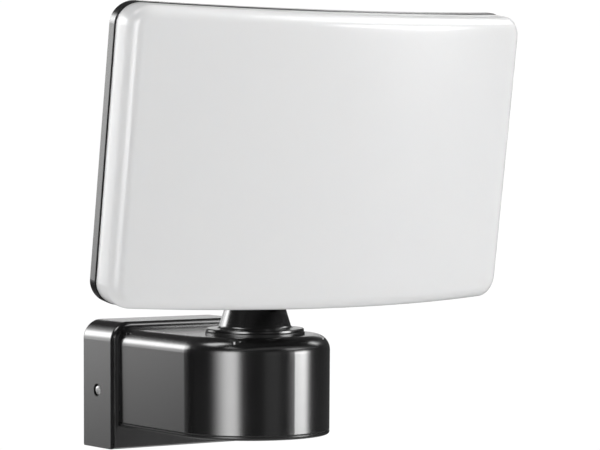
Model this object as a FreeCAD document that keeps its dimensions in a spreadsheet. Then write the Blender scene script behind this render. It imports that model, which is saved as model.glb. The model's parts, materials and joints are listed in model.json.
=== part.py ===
"""Outdoor LED floodlight for a wall: a swivelling neck on an arm carries a tilting opal panel.

Row frame: origin at the centre of the wall plate's back face, the wall is the plane y = 0, the light
stands out towards -Y and +Z is up. Millimetres.
"""
import FreeCAD, Part
import math
import os

import Sketcher

# Driving sizes. Each goes into the sheet under its own alias and is written only here.
SIZES = {
    # wall box
    "wall_width": 107.4,
    "wall_height": 82.2,
    "wall_depth": 40.0,
    "wall_corner": 12.5,
    "wall_edge": 4.2,
    "wall_shell": 3.0,
    "wall_undercut": 1.4,
    "seal_thick": 1.5,
    "seal_inset": 0.6,
    # arm
    "arm_radius": 49.3,
    "arm_draft": 0.4,
    "arm_top": 36.4,
    "arm_bottom": -23.3,
    "arm_reach": 124.3,
    "nose_back": 4.5,
    "arm_edge": 10.0,
    "arm_shell": 3.0,
    "arm_roof": 4.0,
    "arm_boss": 4.0,
    "boss_bite": 1.2,
    "boss_tap": 12.0,
    "duct_radius": 8.0,
    # bottom cover
    "cover_seal": 0.8,
    "cover_thick": 2.3,
    "cover_edge": 1.6,
    "cover_gap": 0.4,
    # wall plate
    "plate_thick": 3.0,
    "plate_gap": 1.5,
    "slot_spacing": 60.0,
    "slot_length": 14.0,
    "slot_width": 5.2,
    "ear_gap": 0.2,
    "ear_thick": 2.0,
    "ear_height": 24.0,
    "ear_reach": 30.0,
    "entry_bore": 4.5,
    "entry_drop": 18.0,
    "entry_hole": 10.0,
    "entry_lip": 2.5,
    "entry_length": 11.0,
    "entry_web": 1.35,
    "entry_front": 2.0,
    "entry_nose": 3.0,
    "rubber_slack": 0.1,
    # side screws
    "side_out": 18.5,
    "side_down": 4.0,
    "side_head": 3.25,
    "side_head_high": 2.2,
    "side_shank": 2.0,
    "side_recess": 4.25,
    "side_recess_deep": 2.4,
    "side_pad": 2.0,
    "side_root": 0.5,
    "side_reach": 2.0,
    # terminal block
    "block_long": 36.0,
    "block_deep": 15.0,
    "block_high": 20.0,
    "block_up": 8.0,
    "pole_step": 11.0,
    "small_screw": 2.0,
    "well_slack": 0.6,
    "well_deep": 5.0,
    "clamp_long": 3.0,
    "clamp_sunk": 2.0,
    "earth_head": 3.8,
    "earth_head_high": 2.2,
    # swivel
    "collar_radius": 31.3,
    "collar_high": 1.7,
    "collar_spigot": 17.0,
    "collar_bevel": 0.5,
    "swivel_gap": 0.3,
    "spigot_radius": 12.5,
    "spigot_drop": 17.0,
    "shaft_clearance": 0.05,
    "flange_radius": 30.75,
    "flange_high": 1.8,
    "flange_bevel": 0.6,
    "foot_radius": 22.5,
    "foot_flare": 2.7,
    "foot_high": 1.8,
    "cone_high": 15.2,
    "cone_top": 17.9,
    "wire_bore": 6.5,
    "wire_exit": 4.5,
    "ring_section": 0.9,
    "ring_pinch": 0.02,
    "ring_depth": 2.0,
    "stop_radius": 30.0,
    "stop_window": 22.0,
    "stop_thick": 1.5,
    "pin_radius": 2.0,
    "pin_circle": 26.0,
    "pin_slack": 0.4,
    "pin_past": 1.0,
    "swivel_limit": 50.0,
    "spring_radius": 18.0,
    "spring_thick": 1.2,
    "nut_flats": 36.0,
    "nut_high": 6.0,
    # tilt joint
    "hinge_height": 84.0,
    "tilt_rest": 8.9,
    "tongue_width": 24.0,
    "lug_radius": 13.0,
    "lug_thick": 8.0,
    "lug_washer": 1.0,
    "washer_radius": 9.0,
    "washer_slack": 0.2,
    "bolt_radius": 4.0,
    "bolt_head_high": 5.0,
    "bolt_flats": 13.0,
    "bolt_nut_high": 6.5,
    "bolt_tip": 2.0,
    "yoke_width": 62.0,
    "yoke_low": -8.0,
    "yoke_high": 42.0,
    "yoke_thick": 4.0,
    "yoke_screw_x": 25.5,
    "yoke_screw_low": 4.0,
    "yoke_screw_high": 34.0,
    "lead_up": 4.0,
    # driver box
    "box_back": 26.0,
    "box_width": 140.0,
    "box_low": -6.0,
    "box_high": 112.0,
    "box_wall": 2.5,
    "box_corner": 6.0,
    "box_edge": 5.0,
    "box_seal": 1.0,
    "box_seal_in": 0.2,
    "box_post_short": 0.8,
    "box_tap_short": 1.8,
    "box_screw_in": 10.0,
    "box_boss": 4.2,
    "driver_width": 96.0,
    "driver_deep": 22.0,
    "driver_low": 22.0,
    "driver_high": 82.0,
    "driver_ear": 11.0,
    "driver_ear_thick": 2.0,
    "vent_radius": 6.0,
    "vent_stem": 3.0,
    "vent_high": 2.5,
    "vent_x": 40.0,
    "vent_y": 44.0,
    # panel
    "panel_width": 283.4,
    "panel_height": 179.0,
    "panel_curve": 445.0,
    "panel_away": 64.7,
    "panel_drop": 15.4,
    "panel_corner": 14.0,
    "tray_deep": 5.7,
    "tray_floor": 2.5,
    "tray_wall": 2.5,
    "joint_gap": 0.8,
    "diffuser_inset": 0.5,
    "diffuser_skirt": 11.9,
    "diffuser_edge": 7.2,
    "diffuser_wall": 2.2,
    "lip_clearance": 0.4,
    "lip_wall": 2.2,
    "panel_seal": 1.5,
    "rim_screw_in": 11.0,
    "rim_screw_x": 82.0,
    "rim_boss": 3.0,
    "rim_pad": 4.6,
    "rim_sink": 1.2,
    "rim_pad_thick": 2.6,
    "rim_gap": 0.3,
    "rim_grip": 12.0,
    "rim_root": 0.66,
    # light engine
    "carrier_rise": 6.0,
    "carrier_thick": 1.5,
    "carrier_inset": 17.0,
    "carrier_post": 3.5,
    "board_step": 3.5,
    "board_width": 12.0,
    "board_thick": 1.0,
    "board_end": 7.0,
    "led_side": 3.2,
    "led_high": 0.8,
    "led_pitch": 14.5,
    "carrier_screw_end": 14.0,
    # screws
    "tap_shank": 1.45,
    "tap_head": 2.8,
    "tap_head_high": 1.4,
    "head_slack": 0.4,
    "head_sunk": 0.2,
    "cover_screw_long": 10.0,
    "driver_tap": 2.0,
    "box_shank": 2.0,
    "box_head": 3.5,
    "box_head_high": 2.4,
    "recess_width": 0.9,
}
BOARDS = 8
LEDS_PER_BOARD = 9
POLES = 3
CLAMP_ROWS = (0.25, 0.75)
HEAD_SIDE = 0.6
HEAD_TOP = 0.62
CROSS_DEEP = 0.55
CROSS_REACH = 0.6
# How far a cutting tool stands out of the wall that it cuts.
OVER = 1.0

V = FreeCAD.Vector
doc = FreeCAD.newDocument("wall_floodlight")
sheet = doc.addObject("Spreadsheet::Sheet", "Sizes")
for row, (alias, number) in enumerate(SIZES.items(), start=1):
    sheet.set(f"A{row}", alias)
    sheet.set(f"B{row}", str(number))
    sheet.setAlias(f"B{row}", alias)
doc.recompute()


class Dim:
    """A length or angle: its value now, and the expression that gives it from the sheet."""

    def __init__(self, value, text):
        self.value = float(value)
        self.text = text

    def __add__(self, other):
        return Dim(self.value + value_of(other), f"({self.text} + {text_of(other)})")

    def __radd__(self, other):
        return Dim(value_of(other) + self.value, f"({text_of(other)} + {self.text})")

    def __sub__(self, other):
        return Dim(self.value - value_of(other), f"({self.text} - {text_of(other)})")

    def __rsub__(self, other):
        return Dim(value_of(other) - self.value, f"({text_of(other)} - {self.text})")

    def __mul__(self, other):
        return Dim(self.value * value_of(other), f"({self.text} * {text_of(other)})")

    __rmul__ = __mul__

    def __truediv__(self, other):
        return Dim(self.value / value_of(other), f"({self.text} / {text_of(other)})")

    def __neg__(self):
        return Dim(-self.value, f"(-1 * {self.text})")


def value_of(size):
    return size.value if isinstance(size, Dim) else float(size)


def text_of(size):
    return size.text if isinstance(size, Dim) else repr(float(size))


def root(size):
    return Dim(math.sqrt(size.value), f"sqrt({size.text})")


def sine(angle):
    return Dim(math.sin(math.radians(angle.value)), f"sin({angle.text})")


def cosine(angle):
    return Dim(math.cos(math.radians(angle.value)), f"cos({angle.text})")


class Sizes:
    """The sheet's cells as attributes, so that a size reads as its name."""

    def __getattr__(self, name):
        return Dim(SIZES[name], f"Sizes.{name}")


s = Sizes()


# ---------------------------------------------------------------- building blocks

def bind(thing, **properties):
    """Tie properties of an object to sizes; a plain number is set once."""
    for name, size in properties.items():
        if isinstance(size, Dim):
            thing.setExpression(name, size.text)
        else:
            setattr(thing, name, size)


TURNS = {
    "+z": FreeCAD.Rotation(),
    "-z": FreeCAD.Rotation(V(1, 0, 0), 180),
    "-y": FreeCAD.Rotation(V(1, 0, 0), 90),
    "+y": FreeCAD.Rotation(V(1, 0, 0), -90),
    "+x": FreeCAD.Rotation(V(0, 1, 0), 90),
    "-x": FreeCAD.Rotation(V(0, 1, 0), -90),
}


def place(thing, at=(0, 0, 0), along="+z"):
    """Put an object's own origin at a point, with its Z axis along a main direction."""
    thing.Placement = FreeCAD.Placement(V(*[value_of(c) for c in at]), TURNS[along])
    for axis, size in zip("xyz", at):
        if isinstance(size, Dim):
            thing.setExpression(f"Placement.Base.{axis}", size.text)
    return thing


def cylinder(name, radius, length, at=(0, 0, 0), along="+z"):
    thing = doc.addObject("Part::Cylinder", name)
    bind(thing, Radius=radius, Height=length)
    return place(thing, at, along)


def cone(name, bottom, top, length, at=(0, 0, 0), along="+z"):
    thing = doc.addObject("Part::Cone", name)
    bind(thing, Radius1=bottom, Radius2=top, Height=length)
    return place(thing, at, along)


def block(name, low, high):
    """A box from its low corner to its high corner."""
    thing = doc.addObject("Part::Box", name)
    bind(thing, Length=high[0] - low[0], Width=high[1] - low[1], Height=high[2] - low[2])
    return place(thing, low)


def hexagon(name, flats, length, at=(0, 0, 0), along="+z"):
    thing = doc.addObject("Part::Prism", name)
    thing.Polygon = 6
    bind(thing, Circumradius=flats / math.sqrt(3.0), Height=length)
    return place(thing, at, along)


def fuse(name, things):
    thing = doc.addObject("Part::MultiFuse", name)
    thing.Shapes = things
    return thing


def cut(name, base, tools):
    thing = doc.addObject("Part::Cut", name)
    thing.Base = base
    thing.Tool = tools[0] if len(tools) == 1 else fuse(f"{name}_tools", tools)
    return thing


def common(name, first, second):
    thing = doc.addObject("Part::Common", name)
    thing.Base = first
    thing.Tool = second
    return thing


def group(name, things):
    thing = doc.addObject("Part::Compound", name)
    thing.Links = things
    return thing


def new_body(name):
    return doc.addObject("PartDesign::Body", name)


def sketch_on(body, name, plane, rise=0):
    """A sketch on one of the body's origin planes, moved along the plane's normal.

    XY_Plane has its normal along +Z, YZ_Plane along +X, and XZ_Plane along -Y.
    """
    sketch = body.newObject("Sketcher::SketchObject", name)
    support = [feature for feature in body.Origin.OriginFeatures if feature.Role == plane][0]
    sketch.AttachmentSupport = [(support, "")]
    sketch.MapMode = "FlatFace"
    sketch.AttachmentOffset = FreeCAD.Placement(V(0, 0, value_of(rise)), FreeCAD.Rotation())
    if isinstance(rise, Dim):
        sketch.setExpression("AttachmentOffset.Base.z", rise.text)
    return sketch


def pin_point(sketch, edge, end, x, y):
    """Fix one end of an edge at sizes from the sketch's origin."""
    for kind, size in (("DistanceX", x), ("DistanceY", y)):
        index = sketch.addConstraint(Sketcher.Constraint(kind, -1, 1, edge, end, value_of(size)))
        if isinstance(size, Dim):
            sketch.setExpression(f"Constraints[{index}]", size.text)


def fix_radius(sketch, edge, radius):
    index = sketch.addConstraint(Sketcher.Constraint("Radius", edge, value_of(radius)))
    if isinstance(radius, Dim):
        sketch.setExpression(f"Constraints[{index}]", radius.text)


def arc_between(start, end, radius):
    """The short arc from start to end, turning left for a positive radius, right for a negative one."""
    chord = end - start
    middle = (start + end) * 0.5
    left = V(-chord.y, chord.x, 0).normalize()
    reach = math.sqrt(max(radius * radius - chord.Length ** 2 / 4.0, 0.0))
    centre = middle + left * (reach if radius > 0 else -reach)
    first, last = (start, end) if radius > 0 else (end, start)
    angles = [math.atan2(p.y - centre.y, p.x - centre.x) for p in (first, last)]
    if angles[1] <= angles[0]:
        angles[1] += 2.0 * math.pi
    return Part.ArcOfCircle(Part.Circle(centre, V(0, 0, 1), abs(radius)), *angles)


def outline(sketch, points):
    """A closed outline, counter-clockwise. A third item makes an arc to the next point.

    That item is the arc's radius: positive turns left (bulges out), negative turns right.
    """
    corners = [V(value_of(p[0]), value_of(p[1]), 0) for p in points]
    ends = []
    first_edge = sketch.GeometryCount
    for index, point in enumerate(points):
        start, end = corners[index], corners[(index + 1) % len(corners)]
        if len(point) == 3:
            radius = value_of(point[2])
            edge = sketch.addGeometry(arc_between(start, end, radius), False)
            ends.append((1, 2) if radius > 0 else (2, 1))
            size = point[2] if radius > 0 else -point[2]
            pin_point(sketch, edge, ends[-1][0], point[0], point[1])
            fix_radius(sketch, edge, size)
        else:
            edge = sketch.addGeometry(Part.LineSegment(start, end), False)
            ends.append((1, 2))
            pin_point(sketch, edge, 1, point[0], point[1])
    for index in range(len(points)):
        after = (index + 1) % len(points)
        joined = (first_edge + index, ends[index][1], first_edge + after, ends[after][0])
        sketch.addConstraint(Sketcher.Constraint("Coincident", *joined))


def circle(sketch, x, y, radius):
    ring = Part.Circle(V(value_of(x), value_of(y), 0), V(0, 0, 1), value_of(radius))
    edge = sketch.addGeometry(ring, False)
    pin_point(sketch, edge, 3, x, y)
    fix_radius(sketch, edge, radius)


def pad(body, sketch, length, taper=0):
    feature = body.newObject("PartDesign::Pad", f"{sketch.Name}_pad")
    feature.Profile = sketch
    bind(feature, Length=length, TaperAngle=taper)
    return settle(body, feature)


def pocket(body, sketch, length, forward=False):
    """Cut a sketch's prism away, against the sketch's normal, or along it where forward."""
    before = body.Shape.Volume
    feature = body.newObject("PartDesign::Pocket", f"{sketch.Name}_cut")
    feature.Profile = sketch
    feature.Reversed = forward
    bind(feature, Length=length)
    settle(body, feature)
    if body.Shape.Volume > before - 1e-3:
        raise RuntimeError(f"{feature.Name} removes nothing")
    return feature


def revolve(body, sketch):
    """Turn a sketch on the XZ plane about the body's own Z axis."""
    feature = body.newObject("PartDesign::Revolution", f"{sketch.Name}_turned")
    feature.Profile = sketch
    feature.ReferenceAxis = (sketch, ["V_Axis"])
    feature.Angle = 360.0
    return settle(body, feature)


def round_edges(body, name, radius, chosen):
    """Fillet the body's edges for which chosen(midpoint, edge) is true."""
    before = body.Tip
    names = []
    for number, edge in enumerate(before.Shape.Edges, start=1):
        middle = edge.valueAt((edge.FirstParameter + edge.LastParameter) / 2.0)
        if chosen(middle, edge):
            names.append(f"Edge{number}")
    if not names:
        raise RuntimeError(f"{name} finds no edge")
    feature = body.newObject("PartDesign::Fillet", name)
    feature.Base = (before, names)
    bind(feature, Radius=radius)
    return settle(body, feature)


def settle(body, feature):
    body.Tip = feature
    doc.recompute()
    return feature


def near(a, b, slack=0.02):
    return abs(value_of(a) - value_of(b)) < slack


def runs_along(edge, direction):
    if not isinstance(edge.Curve, Part.Line):
        return False
    return abs(abs(edge.tangentAt(edge.FirstParameter).dot(direction)) - 1.0) < 1e-6


def cross_recess(name, at, along, depth, reach):
    """Two crossed bars that cut a cross recess into a screw's head, centred on its top."""
    bars = []
    half = s.recess_width / 2
    for tag, wide, tall in (("a", reach, half), ("b", half, reach)):
        bar = block(f"{name}_{tag}", (-wide, -tall, -depth), (wide, tall, depth))
        bars.append(bar)
    pair = fuse(name, bars)
    return place(pair, at, along)


def pan_screw(name, seat, along, head, head_high, shank, length):
    """A pan-head screw: its seat is under the head, along points out of the head."""
    side = head_high * HEAD_SIDE
    low = cylinder(f"{name}_head", head, side)
    high = cone(f"{name}_dome", head, head * HEAD_TOP, head_high - side, at=(0, 0, side))
    stem = cylinder(f"{name}_stem", shank, length, along="-z")
    deep, reach = head_high * CROSS_DEEP, head * CROSS_REACH
    recess = cross_recess(f"{name}_cross", (0, 0, head_high), "+z", deep, reach)
    screw = cut(name, fuse(f"{name}_solid", [low, high, stem]), [recess])
    return place(screw, seat, along)


PARTS = []
NOSE_REACH = s.arm_reach - s.nose_back
SWIVEL = (0, -s.arm_reach, s.arm_top)
HINGE = (0, -s.arm_reach, s.hinge_height)


def keep(thing, label, at=None, tilted=False):
    """Hand in an object as a sub-part; at moves it from its own frame into the row's."""
    if at is not None:
        place(thing, at)
    if tilted:
        angle = FreeCAD.Rotation(V(1, 0, 0), s.tilt_rest.value)
        thing.Placement = FreeCAD.Placement(V(*[value_of(c) for c in HINGE]), angle)
        thing.setExpression("Placement.Base.y", HINGE[1].text)
        thing.setExpression("Placement.Base.z", HINGE[2].text)
        thing.setExpression("Placement.Rotation.Angle", f"{s.tilt_rest.text} * 1 deg")
    thing.Label = label
    PARTS.append(thing)


# ---------------------------------------------------------------- wall box and arm

HALF_WALL = s.wall_width / 2
HALF_HIGH = s.wall_height / 2


def arch(half_width, half_height, corner):
    """A rectangle with square lower corners and round upper corners."""
    return [
        (-half_width, -half_height),
        (half_width, -half_height),
        (half_width, half_height - corner, corner),
        (half_width - corner, half_height),
        (corner - half_width, half_height, corner),
        (-half_width, half_height - corner),
    ]


def tongue_plan(radius, back):
    """The arm seen from above: straight sides from the wall box, then a half-round nose."""
    return [
        (-radius, -back),
        (-radius, -NOSE_REACH, radius),
        (0, -NOSE_REACH - radius, radius),
        (radius, -NOSE_REACH),
        (radius, -back),
    ]


def cover_screw_places():
    """Where the arm's four bosses and the bottom cover's four screws stand."""
    inner = s.arm_radius - s.arm_shell - s.arm_boss + s.boss_bite
    slant = inner * math.sqrt(0.5)
    back = -s.wall_depth - s.arm_shell - s.arm_boss + s.boss_bite
    return [(-inner, back), (inner, back), (-slant, -NOSE_REACH - slant), (slant, -NOSE_REACH - slant)]


def make_base_housing():
    body = new_body("base_housing")
    plan = sketch_on(body, "arm_plan", "XY_Plane", s.arm_bottom)
    outline(plan, tongue_plan(s.arm_radius, s.wall_depth - s.wall_shell / 2))
    pad(body, plan, s.arm_top - s.arm_bottom, taper=s.arm_draft)
    round_edges(body, "arm_top_edge", s.arm_edge, lambda mid, edge: near(mid.z, s.arm_top)
                and mid.y < -s.wall_depth.value)

    face = sketch_on(body, "wall_face", "XZ_Plane", s.seal_thick)
    outline(face, arch(HALF_WALL, HALF_HIGH, s.wall_corner))
    pad(body, face, s.wall_depth - s.seal_thick)
    half_wall, half_high = HALF_WALL.value, HALF_HIGH.value
    corner = s.wall_corner.value

    def on_front_rim(mid, edge):
        beside = near(abs(mid.x), half_wall) or near(abs(mid.z), half_high)
        turned = isinstance(edge.Curve, Part.Circle) and near(edge.Curve.Radius, corner)
        return near(mid.y, -s.wall_depth) and (beside or turned)

    round_edges(body, "wall_front_edge", s.wall_edge, on_front_rim)

    # Under the arm the box's front leans back, so that it clears the mould.
    lean = sketch_on(body, "wall_lean", "YZ_Plane", -s.wall_width)
    outline(lean, [
        (-s.wall_depth - s.wall_edge, -s.wall_height),
        (-s.wall_depth + s.wall_undercut * 2, -s.wall_height),
        (-s.wall_depth + s.wall_undercut, -s.wall_height / 2),
        (-s.wall_depth, s.arm_bottom),
        (-s.wall_depth - s.wall_edge, s.arm_bottom),
    ])
    pocket(body, lean, s.wall_width * 2, forward=True)

    room = sketch_on(body, "wall_room", "XZ_Plane")
    outline(room, arch(HALF_WALL - s.wall_shell, HALF_HIGH - s.wall_shell, s.wall_corner - s.wall_shell))
    pocket(body, room, s.wall_depth - s.wall_shell, forward=True)

    hollow = sketch_on(body, "arm_room", "XY_Plane", s.arm_bottom)
    outline(hollow, tongue_plan(s.arm_radius - s.arm_shell, s.wall_depth + s.arm_shell))
    pocket(body, hollow, s.arm_top - s.arm_bottom - s.arm_roof, forward=True)

    duct = sketch_on(body, "arm_duct", "XZ_Plane", s.wall_depth - s.wall_shell * 2)
    circle(duct, 0, 0, s.duct_radius)
    pocket(body, duct, s.wall_shell * 2 + s.arm_shell * 2, forward=True)

    posts = sketch_on(body, "cover_posts", "XY_Plane", s.arm_bottom)
    for x, y in cover_screw_places():
        circle(posts, x, y, s.arm_boss)
    pad(body, posts, s.arm_top - s.arm_roof / 2 - s.arm_bottom)
    pilots = sketch_on(body, "cover_pilots", "XY_Plane", s.arm_bottom)
    for x, y in cover_screw_places():
        circle(pilots, x, y, s.tap_shank)
    pocket(body, pilots, s.boss_tap, forward=True)

    top = sketch_on(body, "neck_hole", "XY_Plane", s.arm_top)
    circle(top, 0, -s.arm_reach, s.collar_spigot + s.shaft_clearance)
    pocket(body, top, s.arm_roof * 2)
    pin = sketch_on(body, "stop_pin_hole", "XY_Plane", s.arm_top - s.arm_roof)
    circle(pin, 0, s.pin_circle - s.arm_reach, s.pin_radius)
    pocket(body, pin, s.arm_roof / 2, forward=True)

    inner = HALF_WALL - s.wall_shell
    for side, tag in ((1, "right"), (-1, "left")):
        start = inner - s.side_pad if side > 0 else -inner - s.side_root
        pads = sketch_on(body, f"side_pad_{tag}", "YZ_Plane", start)
        circle(pads, -s.side_out, -s.side_down, s.side_recess + s.side_pad)
        pad(body, pads, s.side_pad + s.side_root)
        sink = sketch_on(body, f"side_sink_{tag}", "YZ_Plane", side * HALF_WALL)
        circle(sink, -s.side_out, -s.side_down, s.side_recess)
        pocket(body, sink, s.side_recess_deep, forward=side < 0)
        hole = sketch_on(body, f"side_hole_{tag}", "YZ_Plane", side * HALF_WALL)
        circle(hole, -s.side_out, -s.side_down, s.side_shank + s.shaft_clearance)
        pocket(body, hole, s.wall_shell + s.side_pad + OVER, forward=side < 0)
    keep(body, "base_housing")


def make_wall_gasket():
    body = new_body("wall_gasket")
    rim = sketch_on(body, "gasket_rim", "XZ_Plane")
    edge = s.seal_inset
    outline(rim, arch(HALF_WALL - edge, HALF_HIGH - edge, s.wall_corner - edge))
    inner = s.wall_shell
    outline(rim, arch(HALF_WALL - inner, HALF_HIGH - inner, s.wall_corner - inner))
    pad(body, rim, s.seal_thick)
    keep(body, "wall_gasket")


def make_wall_plate():
    body = new_body("wall_plate")
    inset = s.wall_shell + s.plate_gap
    plate = sketch_on(body, "plate_outline", "XZ_Plane")
    outline(plate, arch(HALF_WALL - inset, HALF_HIGH - inset, s.wall_corner - inset))
    pad(body, plate, s.plate_thick)
    # The ears stand just inside the pads of the side screws.
    outer = HALF_WALL - s.wall_shell - s.side_pad - s.ear_gap
    for side, tag in ((1, "right"), (-1, "left")):
        start = outer - s.ear_thick if side > 0 else -outer
        ear = sketch_on(body, f"ear_{tag}", "YZ_Plane", start)
        half = s.ear_height / 2
        outline(ear, [(-s.ear_reach, -half), (0, -half), (0, half), (-s.ear_reach, half)])
        pad(body, ear, s.ear_thick)
    taps = sketch_on(body, "ear_taps", "YZ_Plane", -outer - OVER)
    circle(taps, -s.side_out, -s.side_down, s.side_shank)
    pocket(body, taps, (outer + OVER) * 2, forward=True)

    slots = sketch_on(body, "wall_slots", "XZ_Plane")
    reach = (s.slot_length - s.slot_width) / 2
    half = s.slot_width / 2
    for centre in (-s.slot_spacing / 2, s.slot_spacing / 2):
        outline(slots, [
            (centre - reach, -half),
            (centre + reach, -half, half),
            (centre + reach + half, 0, half),
            (centre + reach, half),
            (centre - reach, half, half),
            (centre - reach - half, 0, half),
        ])
    pocket(body, slots, s.plate_thick, forward=True)

    entry = sketch_on(body, "entry_hole", "XZ_Plane")
    circle(entry, 0, -s.entry_drop, s.entry_hole)
    pocket(body, entry, s.plate_thick, forward=True)
    lip = sketch_on(body, "entry_rebate", "XZ_Plane")
    circle(lip, 0, -s.entry_drop, s.entry_hole + s.entry_lip)
    pocket(body, lip, s.entry_web, forward=True)
    earth = sketch_on(body, "earth_tap", "XZ_Plane")
    circle(earth, s.slot_spacing / 2, HALF_HIGH / 2, s.small_screw)
    pocket(body, earth, s.plate_thick, forward=True)
    keep(body, "wall_plate")


def make_grommet():
    """Rubber grommet in the plate: a lip behind, a lip in front and a soft nose round the cable."""
    body = new_body("cable_grommet")
    section = sketch_on(body, "grommet_section", "XZ_Plane")
    slack = s.rubber_slack
    web = s.entry_web
    outer = s.entry_hole + s.entry_lip
    outline(section, [
        (s.entry_bore, slack),
        (outer - slack, slack),
        (outer - slack, web - slack),
        (s.entry_hole - slack, web - slack),
        (s.entry_hole - slack, s.plate_thick + slack),
        (outer, s.plate_thick + slack),
        (outer, s.plate_thick + s.entry_front),
        (s.entry_bore + s.entry_nose, s.plate_thick + s.entry_front),
        (s.entry_bore + s.entry_nose / 2, s.entry_length),
        (s.entry_bore, s.entry_length),
    ])
    revolve(body, section)
    keep(place(body, (0, 0, -s.entry_drop), "-y"), "cable_grommet")


def make_side_screws():
    screws = []
    seat = HALF_WALL - s.side_recess_deep
    length = seat - (HALF_WALL - s.wall_shell - s.side_pad - s.ear_thick) + s.side_reach
    for side, along, tag in ((1, "+x", "right"), (-1, "-x", "left")):
        at = (side * seat, -s.side_out, -s.side_down)
        screws.append(pan_screw(f"side_screw_{tag}", at, along, s.side_head, s.side_head_high,
                                s.side_shank, length))
    keep(group("side_screw_pair", screws), "side_screws")


def pole_places():
    """The x of each pole of the terminal block."""
    return [(pole - (POLES - 1) / 2) * s.pole_step for pole in range(POLES)]


def make_terminals():
    front = -s.plate_thick - s.block_deep
    low = (-s.block_long / 2, front, s.block_up)
    high = (s.block_long / 2, -s.plate_thick, s.block_up + s.block_high)
    body = block("terminal_solid", low, high)
    tools, screws = [], []
    for pole, x in enumerate(pole_places()):
        for row, share in enumerate(CLAMP_ROWS):
            z = s.block_up + s.block_high * share
            well, sunk = s.small_screw + s.well_slack, front + s.clamp_sunk
            tools.append(cylinder(f"well_{pole}_{row}", well, s.well_deep, (x, front, z), "+y"))
            screws.append(cylinder(f"clamp_{pole}_{row}", s.small_screw, s.clamp_long, (x, sunk, z), "+y"))
        wire = (x, front / 2 - s.plate_thick / 2, s.block_up)
        tools.append(cylinder(f"wire_way_{pole}", s.small_screw, s.block_high, wire, "+z"))
    keep(cut("terminal_body", body, tools), "terminal_block")
    keep(group("terminal_screw_set", screws), "terminal_screws")
    at = (s.slot_spacing / 2, -s.plate_thick, HALF_HIGH / 2)
    screw = pan_screw("earth_stud", at, "-y", s.earth_head, s.earth_head_high, s.small_screw,
                      s.plate_thick)
    keep(screw, "earth_screw")


def make_bottom_cover():
    cover = new_body("bottom_cover")
    top = s.arm_bottom - s.cover_seal
    plan = sketch_on(cover, "cover_plan", "XY_Plane", top - s.cover_thick)
    outline(plan, tongue_plan(s.arm_radius, s.wall_depth + s.cover_gap))
    pad(cover, plan, s.cover_thick)
    low = top - s.cover_thick
    back = -(s.wall_depth + s.cover_gap).value
    round_edges(cover, "cover_low_edge", s.cover_edge,
                lambda mid, edge: near(mid.z, low) and not near(mid.y, back))
    sinks = sketch_on(cover, "cover_sinks", "XY_Plane", low)
    holes = sketch_on(cover, "cover_holes", "XY_Plane", low)
    for x, y in cover_screw_places():
        circle(sinks, x, y, s.tap_head + s.head_slack)
        circle(holes, x, y, s.tap_shank)
    pocket(cover, sinks, s.tap_head_high + s.head_sunk, forward=True)
    pocket(cover, holes, s.cover_thick, forward=True)
    keep(cover, "bottom_cover")

    seal = new_body("bottom_gasket")
    ring = sketch_on(seal, "gasket_plan", "XY_Plane", top)
    outline(ring, tongue_plan(s.arm_radius - s.seal_inset * 2, s.wall_depth + s.seal_inset * 2))
    outline(ring, tongue_plan(s.arm_radius - s.arm_shell, s.wall_depth + s.arm_shell))
    pad(seal, ring, s.cover_seal)
    keep(seal, "bottom_gasket")

    seat = low + s.tap_head_high + s.head_sunk
    screws = [pan_screw(f"cover_screw_{n}", (x, y, seat), "-z", s.tap_head, s.tap_head_high,
                        s.tap_shank, s.cover_screw_long)
              for n, (x, y) in enumerate(cover_screw_places())]
    keep(group("cover_screw_set", screws), "bottom_screws")


# ---------------------------------------------------------------- swivel, about Z at the nose's centre

def ring_body(name, points, label, at=SWIVEL):
    body = new_body(name)
    section = sketch_on(body, f"{name}_section", "XZ_Plane")
    outline(section, points)
    revolve(body, section)
    keep(body, label, at)
    return body


def make_collar():
    bore = s.spigot_radius + s.shaft_clearance
    ring_body("collar", [
        (bore, -s.arm_roof),
        (s.collar_spigot, -s.arm_roof),
        (s.collar_spigot, 0),
        (s.collar_radius, 0),
        (s.collar_radius, s.collar_high - s.collar_bevel),
        (s.collar_radius - s.collar_bevel, s.collar_high),
        (bore, s.collar_high),
    ], "collar")


def neck_levels():
    """Heights over the arm's top: under the flange, over the flange, end of the foot, top of the cone."""
    under = s.collar_high + s.swivel_gap
    over = under + s.flange_high
    foot = over + s.foot_high
    return under, over, foot, foot + s.cone_high


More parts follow.
